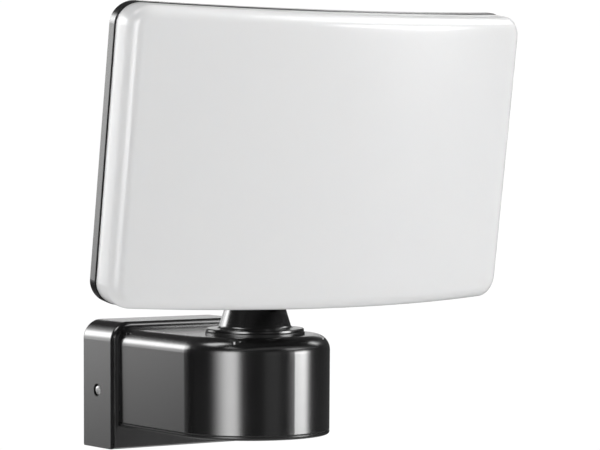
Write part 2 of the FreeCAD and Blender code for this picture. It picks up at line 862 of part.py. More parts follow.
def make_neck():
    body = new_body("neck")
    under, over, foot, cone_end = neck_levels()
    groove = s.ring_section
    mid = -s.ring_depth
    section = sketch_on(body, "neck_section", "XZ_Plane")
    outline(section, [
        (0, -s.spigot_drop),
        (s.spigot_radius, -s.spigot_drop),
        (s.spigot_radius, mid - groove),
        (s.spigot_radius - groove * 2, mid - groove),
        (s.spigot_radius - groove * 2, mid + groove),
        (s.spigot_radius, mid + groove),
        (s.spigot_radius, under),
        (s.flange_radius, under),
        (s.flange_radius, over - s.flange_bevel),
        (s.flange_radius - s.flange_bevel, over),
        (s.foot_radius + s.foot_flare, over, -s.foot_flare),
        (s.foot_radius, foot),
        (s.cone_top, cone_end),
        (0, cone_end),
    ])
    revolve(body, section)

    hinge = s.hinge_height - s.arm_top
    start = cone_end - s.cone_high / 4
    side = sketch_on(body, "tongue_side", "YZ_Plane", -s.tongue_width / 2)
    outline(side, [
        (-s.lug_radius, start),
        (s.lug_radius, start),
        (s.lug_radius, hinge, s.lug_radius),
        (0, hinge + s.lug_radius, s.lug_radius),
        (-s.lug_radius, hinge),
    ])
    pad(body, side, s.tongue_width)
    bore = sketch_on(body, "bolt_bore", "YZ_Plane", -s.tongue_width / 2)
    circle(bore, 0, hinge, s.bolt_radius + s.shaft_clearance)
    pocket(body, bore, s.tongue_width, forward=True)
    wires = sketch_on(body, "wire_bore", "XY_Plane", -s.spigot_drop)
    circle(wires, 0, 0, s.wire_bore)
    pocket(body, wires, s.spigot_drop + cone_end, forward=True)
    mouth = sketch_on(body, "wire_mouth", "XZ_Plane")
    circle(mouth, 0, cone_end - s.wire_exit / 2, s.wire_exit)
    pocket(body, mouth, s.lug_radius * 2, forward=True)
    keep(body, "neck", SWIVEL)


def make_swivel_hardware():
    ring = doc.addObject("Part::Torus", "neck_seal")
    bind(ring, Radius1=s.spigot_radius - s.ring_section, Radius2=s.ring_section - s.ring_pinch)
    keep(ring, "neck_oring", (0, -s.arm_reach, s.arm_top - s.ring_depth))

    top = -s.arm_roof - s.swivel_gap
    stop = new_body("pan_stop_ring")
    plan = sketch_on(stop, "stop_plan", "XY_Plane", top - s.stop_thick)
    half = s.swivel_limit + (s.pin_radius + s.pin_slack) / s.pin_circle * (180 / math.pi)
    wide, narrow = s.stop_radius, s.stop_window
    outline(plan, [
        (-sine(half) * wide, cosine(half) * wide, wide),
        (0, -wide, wide),
        (sine(half) * wide, cosine(half) * wide),
        (sine(half) * narrow, cosine(half) * narrow, narrow),
        (-sine(half) * narrow, cosine(half) * narrow),
    ])
    circle(plan, 0, 0, s.spigot_radius)
    pad(stop, plan, s.stop_thick)
    keep(stop, "pan_stop_ring", SWIVEL)
    pin_at = (0, s.pin_circle - s.arm_reach, s.arm_top - s.arm_roof / 2)
    pin_long = s.arm_roof / 2 + s.swivel_gap + s.stop_thick + s.pin_past
    keep(cylinder("stop_dowel", s.pin_radius, pin_long, pin_at, "-z"), "stop_pin")

    level = top - s.stop_thick - s.spring_thick
    washer = cylinder("spring_disc", s.spring_radius, s.spring_thick, (0, 0, level))
    bore = cylinder("spring_bore", s.spigot_radius, s.spring_thick, (0, 0, level))
    keep(cut("spring_washer", washer, [bore]), "pan_washer", SWIVEL)
    nut = hexagon("nut_hexagon", s.nut_flats, s.nut_high, (0, 0, level - s.nut_high))
    thread = cylinder("nut_bore", s.spigot_radius, s.nut_high, (0, 0, level - s.nut_high))
    keep(cut("neck_nut", nut, [thread]), "pan_nut", SWIVEL)


# ---------------------------------------------------------------- tilt joint, in the head's own frame
# The head's frame has its origin on the tilt axis, X along that axis and Z up along the panel.

LUG_INNER = s.tongue_width / 2 + s.washer_slack + s.lug_washer
LUG_OUTER = LUG_INNER + s.lug_thick
YOKE_FACE = -s.box_back + s.yoke_thick
# Where a lug's round lower edge starts, as the sine and cosine of a 5-12-13 triangle.
LUG_SINE = -5 / 13
LUG_COSINE = -12 / 13


def yoke_screw_places():
    return [(x, z) for x in (-s.yoke_screw_x, s.yoke_screw_x) for z in (s.yoke_screw_low, s.yoke_screw_high)]


def make_yoke():
    body = new_body("tilt_yoke")
    plate = sketch_on(body, "yoke_plate", "XZ_Plane", -YOKE_FACE)
    half = s.yoke_width / 2
    outline(plate, [(-half, s.yoke_low), (half, s.yoke_low), (half, s.yoke_high), (-half, s.yoke_high)])
    pad(body, plate, s.yoke_thick)
    lug = s.lug_radius
    root_y = YOKE_FACE - s.yoke_thick / 2
    for tag, start in (("right", LUG_INNER), ("left", -LUG_OUTER)):
        side = sketch_on(body, f"lug_{tag}", "YZ_Plane", start)
        outline(side, [
            (root_y, s.yoke_low),
            (lug * LUG_SINE, lug * LUG_COSINE, lug),
            (lug, 0, lug),
            (0, lug),
            (root_y, lug * 2),
        ])
        pad(body, side, s.lug_thick)
    bore = sketch_on(body, "lug_bore", "YZ_Plane", -LUG_OUTER - OVER)
    circle(bore, 0, 0, s.bolt_radius)
    pocket(body, bore, (LUG_OUTER + OVER) * 2, forward=True)
    holes = sketch_on(body, "yoke_holes", "XZ_Plane", -YOKE_FACE - OVER)
    for x, z in yoke_screw_places():
        circle(holes, x, z, s.box_shank)
    circle(holes, 0, s.lead_up, s.wire_exit)
    pocket(body, holes, s.yoke_thick + OVER * 2, forward=True)
    keep(body, "tilt_yoke", tilted=True)

    screws = [pan_screw(f"yoke_screw_{n}", (x, YOKE_FACE, z), "+y", s.box_head, s.box_head_high,
                        s.box_shank, s.yoke_thick + s.box_wall)
              for n, (x, z) in enumerate(yoke_screw_places())]
    keep(group("yoke_screw_set", screws), "yoke_screws", tilted=True)


def make_hinge_hardware():
    tip = LUG_OUTER + s.bolt_nut_high + s.bolt_tip
    shank = cylinder("bolt_shank", s.bolt_radius, LUG_OUTER + tip, (-tip, 0, 0), "+x")
    head = hexagon("bolt_hexagon", s.bolt_flats, s.bolt_head_high, (LUG_OUTER, 0, 0), "+x")
    keep(fuse("bolt_solid", [shank, head]), "hinge_bolt", tilted=True)
    nut = hexagon("lock_hexagon", s.bolt_flats, s.bolt_nut_high, (-LUG_OUTER, 0, 0), "-x")
    bore = cylinder("lock_bore", s.bolt_radius, s.bolt_nut_high, (-LUG_OUTER, 0, 0), "-x")
    keep(cut("lock_nut", nut, [bore]), "hinge_nut", tilted=True)
    washers = []
    for tag, along, start in (("right", "-x", LUG_INNER), ("left", "+x", -LUG_INNER)):
        disc = cylinder(f"washer_disc_{tag}", s.washer_radius, s.lug_washer, (start, 0, 0), along)
        hole = cylinder(f"washer_hole_{tag}", s.bolt_radius, s.lug_washer, (start, 0, 0), along)
        washers.append(cut(f"washer_{tag}", disc, [hole]))
    keep(group("washer_pair", washers), "hinge_washers", tilted=True)


# ---------------------------------------------------------------- the curved panel
# Depth is measured from the tray's back face towards the front. Every face of the panel is part of
# the same arc, moved along the depth.

PANEL_HALF = s.panel_width / 2
PANEL_LOW = -s.panel_drop
PANEL_HIGH = s.panel_height - s.panel_drop


def arc_drop(x):
    """How far the arc has fallen back at a distance x from the middle."""
    return s.panel_curve - root(s.panel_curve * s.panel_curve - x * x)


def face_y(depth, x):
    return arc_drop(x) - s.panel_away - depth


def curved_block(name, near_depth, far_depth, half_width, low, high, corner=None, front_edge=None):
    """A block between two depths of the panel, with round corners and a round front edge."""
    body = new_body(name)
    plan = sketch_on(body, f"{name}_plan", "XY_Plane", low)
    outline(plan, [
        (-half_width, face_y(far_depth, half_width), s.panel_curve),
        (half_width, face_y(far_depth, half_width)),
        (half_width, face_y(near_depth, half_width), -s.panel_curve),
        (-half_width, face_y(near_depth, half_width)),
    ])
    pad(body, plan, high - low)
    if corner is not None:
        round_edges(body, f"{name}_corners", corner, lambda mid, edge: runs_along(edge, V(0, 1, 0)))
    if front_edge is not None:
        front = value_of(s.panel_away + far_depth)
        curve = s.panel_curve.value

        def on_front(mid, edge):
            fall = curve - math.sqrt(curve * curve - mid.x * mid.x)
            return abs(mid.y - fall + front) < 0.02

        round_edges(body, f"{name}_front", front_edge, on_front)
    return body


def round_rectangle(half_width, low, high, corner):
    """A rectangle with four round corners, from a low to a high edge."""
    return [
        (corner - half_width, low),
        (half_width - corner, low, corner),
        (half_width, low + corner),
        (half_width, high - corner, corner),
        (half_width - corner, high),
        (corner - half_width, high, corner),
        (-half_width, high - corner),
        (-half_width, low + corner, corner),
    ]


def panel_block(name, near_depth, far_depth, inset, corner, front_edge=None):
    """A curved block over the whole panel, a certain inset from the tray's outline."""
    half, low, high = PANEL_HALF - inset, PANEL_LOW + inset, PANEL_HIGH - inset
    if front_edge is not None:
        return curved_block(name, near_depth, far_depth, half, low, high, corner, front_edge)
    slab = curved_block(f"{name}_slab", near_depth, far_depth, half, low, high)
    prism = new_body(f"{name}_prism")
    face = sketch_on(prism, f"{name}_face", "XZ_Plane")
    outline(face, round_rectangle(half, low, high, corner))
    pad(prism, face, s.panel_away + far_depth + 1)
    return common(name, slab, prism)


def rim_screw_places():
    """The ten screws round the tray's back that hold the diffuser."""
    low = PANEL_LOW + s.rim_screw_in
    high = PANEL_HIGH - s.rim_screw_in
    side = PANEL_HALF - s.rim_screw_in
    places = [(x, z) for x in (-side, -s.rim_screw_x, s.rim_screw_x, side) for z in (low, high)]
    middle = (low + high) / 2
    return places + [(-side, middle), (side, middle)]


def box_screw_places():
    side = s.box_width / 2 - s.box_screw_in
    low, high = s.box_low + s.box_screw_in, s.box_high - s.box_screw_in
    return [(x, z) for x in (-side, side) for z in (low, high)]


def carrier_screw_places():
    """Angle along the arc and height of the six carrier screws, which stand between the LED boards."""
    low = PANEL_LOW + s.carrier_inset + s.carrier_screw_end
    high = PANEL_HIGH - s.carrier_inset - s.carrier_screw_end
    return [(step * s.board_step, z) for step in (-2, 0, 2) for z in (low, high)]


def rod(name, x, z, radius, near_depth, far_depth):
    """A round rod through the panel, along its depth, between two depths at its own x."""
    return cylinder(name, radius, far_depth - near_depth, (x, face_y(near_depth, x), z), "-y")


def swing(name, things, angle):
    """Carry things made at x = 0 along the arc of the LED carrier's face, turned to face outwards."""
    thing = group(name, things)
    centre = s.panel_curve - s.panel_away - s.carrier_rise - s.carrier_thick
    # The axis is given with a turn that isn't zero, because a zero turn would drop it.
    thing.Placement = FreeCAD.Placement(V(0, 0, 0), FreeCAD.Rotation(V(0, 0, 1), 1.0))
    thing.setExpression("Placement.Base.x", (centre * sine(angle)).text)
    thing.setExpression("Placement.Base.y", (centre * (1 - cosine(angle))).text)
    thing.setExpression("Placement.Rotation.Angle", f"{angle.text} * 1 deg")
    return thing


def make_tray():
    outer = panel_block("tray_outer", 0, s.tray_deep, 0, s.panel_corner)
    inner = panel_block("tray_inner", s.tray_floor, s.tray_deep + OVER, s.tray_wall,
                        s.panel_corner - s.tray_wall)
    shell = cut("tray_shell", outer, [inner])
    solids, holes = [shell], []

    posts = []
    for n, (angle, z) in enumerate(carrier_screw_places()):
        post = cylinder(f"carrier_post_{n}", s.carrier_post, s.carrier_rise * 2, (0, -s.panel_away, z), "-y")
        posts.append(swing(f"carrier_post_{n}_turned", [post], angle))
    reach = panel_block("post_reach", s.tray_floor / 2, s.carrier_rise, s.carrier_inset, s.panel_corner / 2)
    solids.append(common("carrier_posts", fuse("carrier_post_set", posts), reach))
    for n, (angle, z) in enumerate(carrier_screw_places()):
        pilot = cylinder(f"carrier_pilot_{n}", s.tap_shank, s.carrier_rise - s.tray_floor / 2,
                         (0, -s.panel_away - s.carrier_rise, z), "+y")
        holes.append(swing(f"carrier_pilot_{n}_turned", [pilot], angle))

    for n, (x, z) in enumerate(box_screw_places()):
        solids.append(rod(f"box_post_{n}", x, z, s.carrier_post, s.tray_floor / 2,
                          s.carrier_rise - s.box_post_short))
        holes.append(rod(f"box_pilot_{n}", x, z, s.box_shank, -OVER, s.carrier_rise - s.box_tap_short))
    for n, (x, z) in enumerate(rim_screw_places()):
        solids.append(rod(f"rim_pad_{n}", x, z, s.rim_pad, s.rim_sink, s.rim_sink + s.rim_pad_thick))
        holes.append(rod(f"rim_sink_{n}", x, z, s.tap_head + s.head_slack, -s.rim_sink, s.rim_sink))
        holes.append(rod(f"rim_hole_{n}", x, z, s.tap_shank, 0, s.rim_sink + s.rim_pad_thick + OVER))
    middle = (s.box_low + s.box_high) / 2
    holes.append(rod("lead_hole", 0, middle, s.wire_bore, -OVER, s.tray_deep))
    keep(cut("tray_drilled", fuse("tray_solid", solids), holes), "back_housing", tilted=True)


def make_diffuser():
    front = s.tray_deep + s.joint_gap + s.diffuser_skirt + s.diffuser_edge
    shelf = s.tray_deep + s.joint_gap
    lip_inset = s.tray_wall + s.lip_clearance
    lip_start = s.tray_floor + s.panel_seal
    ledge = s.diffuser_wall
    cover = panel_block("opal_outer", shelf, front, s.diffuser_inset, s.panel_corner - s.diffuser_inset,
                        s.diffuser_edge)
    lip = panel_block("opal_lip", lip_start, shelf + ledge, lip_inset, s.panel_corner - lip_inset)
    wall = s.diffuser_inset + s.diffuser_wall
    room = panel_block("opal_room", shelf + ledge, front - s.diffuser_wall, wall, s.panel_corner - wall,
                       s.diffuser_edge - s.diffuser_wall)
    throat_inset = lip_inset + s.lip_wall
    throat = panel_block("opal_throat", lip_start - OVER, shelf + ledge + OVER, throat_inset,
                         s.panel_corner - throat_inset)
    shell = cut("opal_shell", fuse("opal_solid", [cover, lip]), [room, throat])
    start = s.rim_sink + s.rim_pad_thick + s.rim_gap
    bosses, pilots = [shell], []
    for n, (x, z) in enumerate(rim_screw_places()):
        bosses.append(rod(f"rim_boss_{n}", x, z, s.rim_boss, start, front - s.diffuser_wall + s.rim_root))
        pilots.append(rod(f"rim_pilot_{n}", x, z, s.tap_shank, start - OVER, start + s.rim_grip))
    keep(cut("opal_drilled", fuse("opal_bossed", bosses), pilots), "diffuser", tilted=True)

    outer = lip_inset - s.rubber_slack
    inner = throat_inset + s.rubber_slack * 2
    ring = panel_block("seal_outer", s.tray_floor, lip_start, outer, s.panel_corner - outer)
    hole = panel_block("seal_inner", s.tray_floor - OVER, lip_start + OVER, inner, s.panel_corner - inner)
    keep(cut("panel_gasket", ring, [hole]), "diffuser_gasket", tilted=True)

    length = s.rim_pad_thick + s.rim_gap + s.rim_grip - OVER
    screws = [pan_screw(f"rim_screw_{n}", (x, face_y(s.rim_sink, x), z), "+y", s.tap_head,
                        s.tap_head_high, s.tap_shank, length)
              for n, (x, z) in enumerate(rim_screw_places())]
    keep(group("rim_screw_set", screws), "diffuser_screws", tilted=True)


def make_light_engine():
    face = s.carrier_rise + s.carrier_thick
    sheet_metal = panel_block("carrier_sheet", s.carrier_rise, face, s.carrier_inset, s.panel_corner / 2)
    holes = []
    for n, (angle, z) in enumerate(carrier_screw_places()):
        behind = (0, -s.panel_away - s.carrier_rise + s.carrier_thick, z)
        hole = cylinder(f"carrier_hole_{n}", s.tap_shank, s.carrier_thick * 3, behind, "-y")
        holes.append(swing(f"carrier_hole_{n}_turned", [hole], angle))
    middle = (s.box_low + s.box_high) / 2
    holes.append(rod("carrier_lead_hole", 0, middle, s.wire_bore, s.carrier_rise - OVER,
                     face + OVER))
    keep(cut("carrier_drilled", sheet_metal, holes), "led_carrier", tilted=True)
    screws = []
    for n, (angle, z) in enumerate(carrier_screw_places()):
        screw = pan_screw(f"carrier_tap_{n}", (0, -s.panel_away - face, z), "-y", s.tap_head,
                          s.tap_head_high, s.tap_shank, s.carrier_thick + s.tray_floor)
        screws.append(swing(f"carrier_screw_{n}", [screw], angle))
    keep(group("carrier_screw_set", screws), "carrier_screws", tilted=True)

    boards, leds = [], []
    board_low = PANEL_LOW + s.carrier_inset + s.board_end
    board_high = PANEL_HIGH - s.carrier_inset - s.board_end
    back = -s.panel_away - face
    centre = (board_low + board_high) / 2
    for strip in range(BOARDS):
        angle = (strip - (BOARDS - 1) / 2) * s.board_step
        half = s.board_width / 2
        board = block(f"board_{strip}", (-half, back - s.board_thick, board_low), (half, back, board_high))
        boards.append(swing(f"board_strip_{strip}", [board], angle))
        chips = []
        for place_on in range(LEDS_PER_BOARD):
            z = centre + (place_on - (LEDS_PER_BOARD - 1) / 2) * s.led_pitch
            top = back - s.board_thick
            side = s.led_side / 2
            chips.append(block(f"led_{strip}_{place_on}", (-side, top - s.led_high, z - side),
                               (side, top, z + side)))
        leds.append(swing(f"led_strip_{strip}", chips, angle))
    keep(group("board_set", boards), "led_boards", tilted=True)
    keep(group("led_set", leds), "leds", tilted=True)


def make_driver_box():
    half = s.box_width / 2
    edge_y = face_y(-s.box_seal, half)
    body = new_body("box_shell")
    plan = sketch_on(body, "box_plan", "XY_Plane", s.box_low)
    outline(plan, [
        (-half, edge_y, s.panel_curve),
        (half, edge_y),
        (half, -s.box_back),
        (-half, -s.box_back),
    ])
    pad(body, plan, s.box_high - s.box_low)
    round_edges(body, "box_corners", s.box_corner, lambda mid, edge: runs_along(edge, V(0, 1, 0)))
    round_edges(body, "box_back_edge", s.box_edge, lambda mid, edge: near(mid.y, -s.box_back))
    room = sketch_on(body, "box_room", "XY_Plane", s.box_low + s.box_wall)
    inner = half - s.box_wall
    outline(room, [
        (-inner, face_y(OVER, inner), s.panel_curve),
        (inner, face_y(OVER, inner)),
        (inner, -s.box_back - s.box_wall),
        (-inner, -s.box_back - s.box_wall),
    ])
    pocket(body, room, s.box_high - s.box_low - s.box_wall * 2, forward=True)

    foot = -s.box_back - s.box_wall / 2
    columns = [cylinder(f"box_column_{n}", s.box_boss, s.panel_away, (x, foot, z), "-y")
               for n, (x, z) in enumerate(box_screw_places())]
    limit = curved_block("column_reach", -s.panel_away, -s.box_seal, half, s.box_low, s.box_high)
    solids = [body, common("box_columns", fuse("box_column_set", columns), limit)]
    outside = -s.box_back + OVER
    through = s.box_wall + OVER * 2
    holes = [cylinder(f"box_way_{n}", s.box_shank, s.panel_away, (x, outside, z), "-y")
             for n, (x, z) in enumerate(box_screw_places())]
    holes += [cylinder(f"yoke_tap_{n}", s.box_shank, through, (x, outside, z), "-y")
              for n, (x, z) in enumerate(yoke_screw_places())]
    holes += [cylinder(f"driver_tap_{n}", s.tap_shank, s.driver_tap, at, "+y")
              for n, at in enumerate(driver_screw_places())]
    holes.append(cylinder("vent_hole", s.vent_stem, through, (s.vent_x, -s.vent_y, s.box_low - OVER)))
    holes.append(cylinder("box_lead_hole", s.wire_exit, through, (0, outside, s.lead_up), "-y"))
    keep(cut("box_drilled", fuse("box_solid", solids), holes), "driver_cover", tilted=True)

    edge = s.box_seal_in
    outer = curved_block("box_seal_outer", -s.box_seal, 0, half - edge, s.box_low + edge,
                         s.box_high - edge, s.box_corner)
    hole = curved_block("box_seal_inner", -s.box_seal - OVER, OVER, inner, s.box_low + s.box_wall,
                        s.box_high - s.box_wall)
    keep(cut("box_gasket", outer, [hole]), "cover_gasket", tilted=True)

    screws = []
    for n, (x, z) in enumerate(box_screw_places()):
        length = s.panel_away - s.box_back - arc_drop(x) + s.carrier_rise - s.box_tap_short - OVER
        screws.append(pan_screw(f"box_screw_{n}", (x, -s.box_back, z), "+y", s.box_head,
                                s.box_head_high, s.box_shank, length))
    keep(group("box_screw_set", screws), "cover_screws", tilted=True)
    stem = cylinder("vent_stem", s.vent_stem, s.box_wall, (s.vent_x, -s.vent_y, s.box_low))
    cap = cylinder("vent_cap", s.vent_radius, s.vent_high, (s.vent_x, -s.vent_y, s.box_low), "-z")
    keep(fuse("vent_solid", [stem, cap]), "vent_plug", tilted=True)


def driver_screw_places():
    """The two seats of the driver's screws, on the box's inner back face."""
    x = s.driver_width / 2 + s.driver_ear / 2
    z = (s.driver_low + s.driver_high) / 2
    return [(-x, -s.box_back - s.box_wall, z), (x, -s.box_back - s.box_wall, z)]


def make_driver():
    back = -s.box_back - s.box_wall
    half = s.driver_width / 2
    case = block("driver_case", (-half, back - s.driver_deep, s.driver_low), (half, back, s.driver_high))
    reach = half + s.driver_ear
    ears = block("driver_ears", (-reach, back - s.driver_ear_thick, s.driver_low + s.driver_ear),
                 (reach, back, s.driver_high - s.driver_ear))
    holes = [cylinder(f"driver_hole_{n}", s.tap_shank, s.driver_ear_thick + OVER * 2,
                      (x, y + OVER, z), "-y")
             for n, (x, y, z) in enumerate(driver_screw_places())]
    keep(cut("driver_drilled", fuse("driver_solid", [case, ears]), holes), "led_driver", tilted=True)
    screws = [pan_screw(f"driver_screw_{n}", (x, y - s.driver_ear_thick, z), "-y", s.tap_head,
                        s.tap_head_high, s.tap_shank, s.driver_ear_thick + s.driver_tap)
              for n, (x, y, z) in enumerate(driver_screw_places())]
    keep(group("driver_screw_pair", screws), "driver_screws", tilted=True)


make_base_housing()
make_wall_gasket()
make_wall_plate()
make_grommet()
make_side_screws()
make_terminals()
make_bottom_cover()
make_collar()
make_neck()
make_swivel_hardware()
make_yoke()
make_hinge_hardware()
make_tray()
make_diffuser()
make_light_engine()
make_driver_box()
make_driver()
doc.recompute()

faults = [thing.Name for thing in doc.Objects if "Invalid" in thing.State or "Error" in thing.State]
if faults:
    raise RuntimeError(f"failed features: {faults}")
for thing in PARTS:
    if thing.Shape.isNull() or not thing.Shape.isValid() or not thing.Shape.Solids:
        raise RuntimeError(f"{thing.Label} has no valid solid")
os.makedirs("parts", exist_ok=True)
for thing in PARTS:
    thing.Shape.exportStep(f"parts/{thing.Label}.step")
    print(f"{thing.Label:18s} solids {len(thing.Shape.Solids):3d}  volume {thing.Shape.Volume:10.1f}")
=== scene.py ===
"""Looks of a wall floodlight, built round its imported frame. Lengths are in metres.

The head is a white opal panel in a thin black tray, with a driver box behind it. It tilts on a
cross bolt over a neck, the neck swivels on an arm, and the arm stands out from a wall box.
"""

import json
import logging
import math
from collections.abc import Callable, Sequence
from dataclasses import dataclass, field
from enum import Enum

import bmesh
import bpy
import numpy as np
from mathutils import Matrix, Vector

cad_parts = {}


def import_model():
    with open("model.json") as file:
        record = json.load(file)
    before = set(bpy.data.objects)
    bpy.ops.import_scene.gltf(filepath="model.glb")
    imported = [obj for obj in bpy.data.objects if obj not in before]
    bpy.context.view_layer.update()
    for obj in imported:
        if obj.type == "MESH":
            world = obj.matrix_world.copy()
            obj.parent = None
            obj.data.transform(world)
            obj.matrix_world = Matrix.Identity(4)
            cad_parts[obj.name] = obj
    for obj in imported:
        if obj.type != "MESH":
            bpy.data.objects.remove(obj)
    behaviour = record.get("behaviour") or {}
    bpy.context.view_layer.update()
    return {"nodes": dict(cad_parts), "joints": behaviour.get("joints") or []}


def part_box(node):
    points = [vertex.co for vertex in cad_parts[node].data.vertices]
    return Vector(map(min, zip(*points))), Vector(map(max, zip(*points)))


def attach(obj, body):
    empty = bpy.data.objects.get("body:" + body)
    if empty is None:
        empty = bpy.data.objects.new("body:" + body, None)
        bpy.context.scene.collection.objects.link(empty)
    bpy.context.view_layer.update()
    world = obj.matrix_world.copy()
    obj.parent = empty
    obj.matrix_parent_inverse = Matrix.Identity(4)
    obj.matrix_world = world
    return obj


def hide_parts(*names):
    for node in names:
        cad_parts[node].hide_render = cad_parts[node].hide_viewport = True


LOG = logging.getLogger("floodlight")
MM = 0.001
SAME_POINT = 1e-7
SAME_CAD_POINT = 1e-6
CARVED_SHARP = 28.0
Colour = tuple[float, float, float]
Point = tuple[float, float]


# ---------------------------------------------------------------- wiring of node trees


class Wiring:
    """A node tree while it is being wired up."""

    def __init__(self, tree: bpy.types.NodeTree) -> None:
        """Starts on a tree."""
        self.tree = tree

    def add(
        self,
        kind: str,
        inputs: dict[str | int, object] | None = None,
        **settings: object,
    ) -> bpy.types.Node:
        """Adds a node.

        Args:
            kind: the node's type.
            inputs: a number, colour or socket for each input, by name or place.
            settings: the node's own properties.

        Returns:
            The node.
        """
        node = self.tree.nodes.new(kind)
        for name, value in settings.items():
            setattr(node, name, value)
        self.feed(node, inputs or {})
        return node

    def feed(self, node: bpy.types.Node, inputs: dict[str | int, object]) -> None:
        """Sets or links inputs of a node.

        Args:
            node: the node.
            inputs: a number, colour or socket for each input, by name or place.
        """
        for key, value in inputs.items():
            socket = node.inputs[key]
            if isinstance(value, bpy.types.NodeSocket):
                self.tree.links.new(value, socket)
            elif isinstance(value, tuple) and len(value) == 3 and len(socket.default_value) == 4:
                socket.default_value = (*value, 1.0)
            else:
                socket.default_value = value

    def maths(self, operation: str, *values: object) -> bpy.types.NodeSocket:
        """Adds a Math node.

        Args:
            operation: the node's operation.
            values: its inputs, in order.

        Returns:
            Its output socket.
        """
        return self.add("ShaderNodeMath", dict(enumerate(values)), operation=operation).outputs[0]

    def ramp(self, value: object, low: object, high: object) -> bpy.types.NodeSocket:
        """Adds a smooth step.

        Args:
            value: what is stepped.
            low: where the step starts from 0.
            high: where it reaches 1.

        Returns:
            The step's socket.
        """
        inputs = {"Value": value, "From Min": low, "From Max": high}
        return self.add("ShaderNodeMapRange", inputs, interpolation_type="SMOOTHSTEP").outputs[0]

    def blend(self, mask: object, under: object, over: object) -> bpy.types.NodeSocket:
        """Adds a colour mix.

        Args:
            mask: how much of the second colour shows.
            under: the first colour.
            over: the second colour.

        Returns:
            The mixed colour's socket.
        """
        node = self.add("ShaderNodeMix", {0: mask, 6: under, 7: over}, data_type="RGBA")
        return node.outputs[2]

    def noise(self, scale: object, detail: float, roughness: float = 0.5) -> bpy.types.NodeSocket:
        """Adds noise on object coordinates.

        Args:
            scale: its frequency, per metre.
            detail: its number of octaves.
            roughness: how strong the finer octaves are.

        Returns:
            The noise's socket.
        """
        place = self.add("ShaderNodeTexCoord").outputs["Object"]
        inputs = {"Vector": place, "Scale": scale, "Detail": detail, "Roughness": roughness}
        return self.add("ShaderNodeTexNoise", inputs).outputs[0]


def new_group(
    name: str,
    kind: str,
    inputs: Sequence[tuple[str, str, object]],
    outputs: Sequence[tuple[str, str]],
) -> tuple[Wiring, dict[str, bpy.types.NodeSocket], bpy.types.Node]:
    """Starts a node group.

    Args:
        name: the group's name.
        kind: the tree's type.
        inputs: name, socket type and default of each input.
        outputs: name and socket type of each output.

    Returns:
        The wiring, the input sockets by name, and the output node.
    """
    tree = bpy.data.node_groups.new(name, kind)
    for title, socket_type, value in inputs:
        socket = tree.interface.new_socket(name=title, in_out="INPUT", socket_type=socket_type)
        if value is not None:
            socket.default_value = value
    for title, socket_type in outputs:
        tree.interface.new_socket(name=title, in_out="OUTPUT", socket_type=socket_type)
    wiring = Wiring(tree)
    start = wiring.add("NodeGroupInput")
    end = wiring.add("NodeGroupOutput")
    return wiring, {socket.name: socket for socket in start.outputs}, end


# ---------------------------------------------------------------- effects shared by the finishes


class Effect(Enum):
    """Surface effects, each a shader node group that is built once."""

    GRAIN = "paint grain"
    PATCHES = "patches"
    WEAR = "edge wear"
    DUST = "settled dust"
    SCRATCHES = "fine scratches"
    SOFT_EDGE = "soft edge"

    def tree(self) -> bpy.types.NodeTree:
        """Returns the effect's group, made when it is first asked for."""
        made = bpy.data.node_groups.get(self.value)
        return made or EFFECT_MAKERS[self](self.value)


def make_grain(name: str) -> bpy.types.NodeTree:
    """Builds the fine pebbling of a sprayed or moulded skin.

    Args:
        name: the group's name.

    Returns:
        The group, which puts out a height.
    """
    inputs = [("Scale", "NodeSocketFloat", 900.0), ("Coarse", "NodeSocketFloat", 0.3)]
    wiring, given, end = new_group(name, "ShaderNodeTree", inputs, [("Height", "NodeSocketFloat")])
    fine = wiring.noise(given["Scale"], 3.0)
    broad = wiring.noise(wiring.maths("MULTIPLY", given["Scale"], 0.22), 1.0)
    raised = wiring.maths("MULTIPLY_ADD", broad, given["Coarse"], fine)
    wiring.feed(end, {"Height": raised})
    return wiring.tree


def make_patches(name: str) -> bpy.types.NodeTree:
    """Builds slow, soft variation over a surface.

    Args:
        name: the group's name.

    Returns:
        The group, which puts out a mask and a value between two limits.
    """
    inputs = [
        ("Scale", "NodeSocketFloat", 25.0),
        ("Low", "NodeSocketFloat", 0.2),
        ("High", "NodeSocketFloat", 0.3),
    ]
    outputs = [("Mask", "NodeSocketFloat"), ("Value", "NodeSocketFloat")]
    wiring, given, end = new_group(name, "ShaderNodeTree", inputs, outputs)
    mask = wiring.ramp(wiring.noise(given["Scale"], 5.0, 0.6), 0.32, 0.68)
    span = wiring.maths("SUBTRACT", given["High"], given["Low"])
    value = wiring.maths("MULTIPLY_ADD", mask, span, given["Low"])
    wiring.feed(end, {"Mask": mask, "Value": value})
    return wiring.tree


def make_wear(name: str) -> bpy.types.NodeTree:
    """Builds a broken line of rubbing along sharp edges.

    Args:
        name: the group's name.

    Returns:
        The group, which puts out a mask.
    """
    inputs = [
        ("Radius", "NodeSocketFloat", 0.0006),
        ("Amount", "NodeSocketFloat", 0.5),
        ("Scale", "NodeSocketFloat", 260.0),
    ]
    wiring, given, end = new_group(name, "ShaderNodeTree", inputs, [("Mask", "NodeSocketFloat")])
    turned = wiring.add("ShaderNodeBevel", {"Radius": given["Radius"]}, samples=4).outputs[0]
    straight = wiring.add("ShaderNodeNewGeometry").outputs["Normal"]
    dot = wiring.add("ShaderNodeVectorMath", {0: turned, 1: straight}, operation="DOT_PRODUCT")
    edge = wiring.ramp(wiring.maths("SUBTRACT", 1.0, dot.outputs["Value"]), 0.015, 0.2)
    broken = wiring.ramp(wiring.noise(given["Scale"], 6.0, 0.65), 0.42, 0.62)
    mask = wiring.maths("MULTIPLY", wiring.maths("MULTIPLY", edge, broken), given["Amount"])
    wiring.feed(end, {"Mask": mask})
    return wiring.tree


